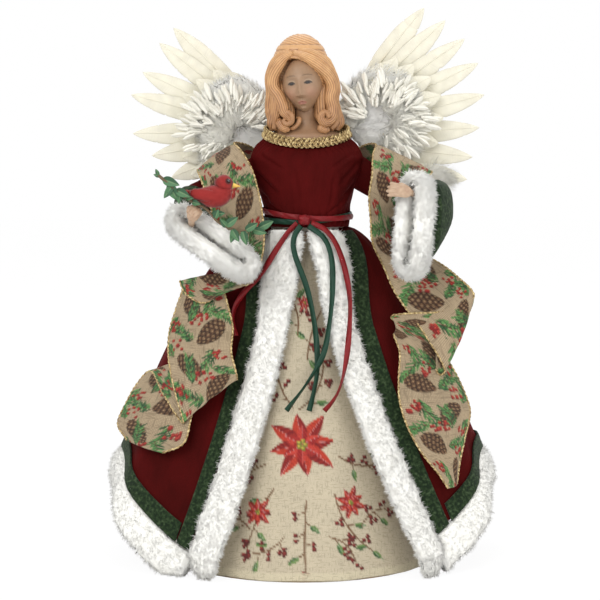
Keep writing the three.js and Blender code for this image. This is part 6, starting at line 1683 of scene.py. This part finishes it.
# Sprig: a bent wire twig with cloth leaves, held in the left fist. Each leaf is folded a little along
# its middle vein.
TWIG_ROUTE = np.array([
    (-0.37, -0.21, 0.48), (-0.27, -0.24, 0.4), (-0.17, -0.245, 0.322), (-0.105, -0.22, 0.277),
    (-0.04, -0.2, 0.246), (0.06, -0.23, 0.145), (0.19, -0.21, 0.095),
    (0.34, -0.16, 0.11)]) * 100 + (-63, -63, 235)
LEAVES = [
    # share of the twig's length, direction in degrees up from the right, forward lean, share of size
    (0.02, 115, 0.2, 0.4), (0.03, 160, 0.3, 0.35), (0.06, -20, 0.4, 1), (0.12, -60, 0.25, 1.05),
    (0.2, -25, 0.5, 0.9), (0.16, -125, 0.35, 0.75), (0.24, -95, 0.4, 0.6), (0.3, -5, 0.9, 0.5),
    (0.36, -15, 0.9, 0.6), (0.55, 5, 0.2, 0.75), (0.6, 70, 0.5, 0.6), (0.7, 35, 0.2, 0.85),
    (0.72, 130, 0.5, 0.6), (0.76, -60, 0.4, 0.8), (0.79, -110, 0.45, 0.75), (0.85, -75, 0.3, 0.8),
    (0.87, 30, 0.3, 0.8), (0.93, -15, 0.2, 0.8), (0.98, 25, 0.2, 0.9)]
twig_line = through(TWIG_ROUTE, 200)
twig_points, twig_faces = tube(twig_line, mix(1.15, 0.7, np.linspace(0, 1, 200)), 10, lobes=3,
                               lobe_depth=0.12, twist=6)
sprig_parts = [(twig_points, twig_faces)]
sprig_tones = [np.tile((0.13, 0.085, 0.04), (len(twig_points), 1))]
for index, (share, angle, forward, size) in enumerate(LEAVES):
    root = twig_line[min(int(share * 199), 199)]
    aim = unit([math.cos(math.radians(angle)), -forward, math.sin(math.radians(angle))])
    across = unit(np.cross(aim, (0, -1, 0)))
    face = np.cross(across, aim)
    along = np.linspace(0, 1, 26)[:, None]
    c = np.concatenate([np.linspace(-1, 1, 11), np.linspace(1, -1, 11)])[None, :]
    sheet_side = np.concatenate([np.ones(11), -np.ones(11)])[None, :]
    half = 3.25 * size * np.sin(np.pi * along ** 0.8) ** 0.85 + 0.12
    droop = -1.4 * size * along ** 2 + 0.9 * np.abs(c) * half * 0.45 + 0.12 * np.cos(along * 34) * np.abs(c)
    lift = droop + sheet_side * 0.16
    rings = (root + aim * (along * 13 * size)[..., None] + across * (half * c)[..., None]
             + face * lift[..., None])
    sprig_parts.append(skin(rings))
    veins = 0.5 + 0.5 * np.cos(along * 60 + np.abs(c) * 4)
    # Each leaf is lighter on one side of its middle vein than on the other: painted light and shade on the
    # two halves of its fold. The side veins and the pale middle vein are the cloth's own.
    green = mix(np.array([0.02, 0.075, 0.035]), np.array([0.085, 0.21, 0.09]),
                np.clip(0.35 + 0.3 * np.sign(c) + 0.25 * veins, 0, 1)[..., None])
    green = mix(green, np.array([0.22, 0.34, 0.16]), (ease(np.abs(c), 0.16, 0.04) * 0.7)[..., None])
    sprig_tones.append(np.vstack([np.broadcast_to(green, (*rings.shape[:2], 3)).reshape(-1, 3),
                                  [[0.05, 0.12, 0.05]] * 2]))
sprig_points, sprig_faces = join(sprig_parts)
piece_of("sprig_leaves", sprig_points, sprig_faces, painted_material("leaf_cloth", 0.6, 0.0, 700.0, 0.0002),
         "leaf_green", replaces=["sprig"], paint=np.vstack(sprig_tones))

# Studio: a pale floor, soft lamps and a white surround. The floor shows white to the camera apart
# from the figure's own shadow.


def soft_lamp(name, place, size, power):
    """A square soft lamp that looks at the middle of the figure."""
    data = bpy.data.lights.new(name, "AREA")
    data.size = size
    data.energy = power
    lamp = bpy.data.objects.new(name, data)
    way = unit(np.array([0, 0, 0.22]) - place)
    lamp.location = place
    lamp.rotation_euler = (math.acos(-way[2]), 0, math.atan2(-way[0], way[1]))
    bpy.context.collection.objects.link(lamp)


soft_lamp("key", np.array([-0.9, -1.6, 1.4]), 1.2, 19.5)
soft_lamp("fill", np.array([1.3, -1.2, 0.8]), 1.2, 8)
soft_lamp("top", np.array([0.1, 0.7, 1.7]), 1.0, 7)

world = bpy.data.worlds.new("surround")
bpy.context.scene.world = world
world.use_nodes = True
rays = add_node(world.node_tree, "ShaderNodeLightPath")
seen = combined(world.node_tree, "MAXIMUM", rays.outputs["Is Camera Ray"], rays.outputs["Is Glossy Ray"])
strength = add_node(world.node_tree, "ShaderNodeMapRange", Value=seen, To_Min=0.7, To_Max=1.0)
world.node_tree.links.new(strength.outputs["Result"], world.node_tree.nodes["Background"].inputs["Strength"])
world.node_tree.nodes["Background"].inputs["Color"].default_value = (1, 1, 1, 1)

floor_mesh = bpy.data.meshes.new("floor")
floor_mesh.from_pydata([(-6, -6, 0), (6, -6, 0), (6, 6, 0), (-6, 6, 0)], [], [(0, 1, 2, 3)])
floor = bpy.data.objects.new("floor", floor_mesh)
bpy.context.collection.objects.link(floor)
floor_finish, floor_tree, floor_shader = new_material("floor", (0.96, 0.96, 0.96), 0.9)
glow = add_node(floor_tree, "ShaderNodeEmission", Strength=1.03, Color=(1, 1, 1, 1))
floor_rays = add_node(floor_tree, "ShaderNodeLightPath")
glow_share = combined(floor_tree, "MULTIPLY", floor_rays.outputs["Is Camera Ray"], 0.9)
blend_in = add_node(floor_tree, "ShaderNodeMixShader", Fac=glow_share)
floor_tree.links.new(floor_shader.outputs["BSDF"], blend_in.inputs[1])
floor_tree.links.new(glow.outputs["Emission"], blend_in.inputs[2])
floor_tree.links.new(blend_in.outputs["Shader"], floor_tree.nodes["Material Output"].inputs["Surface"])
floor_mesh.materials.append(floor_finish)
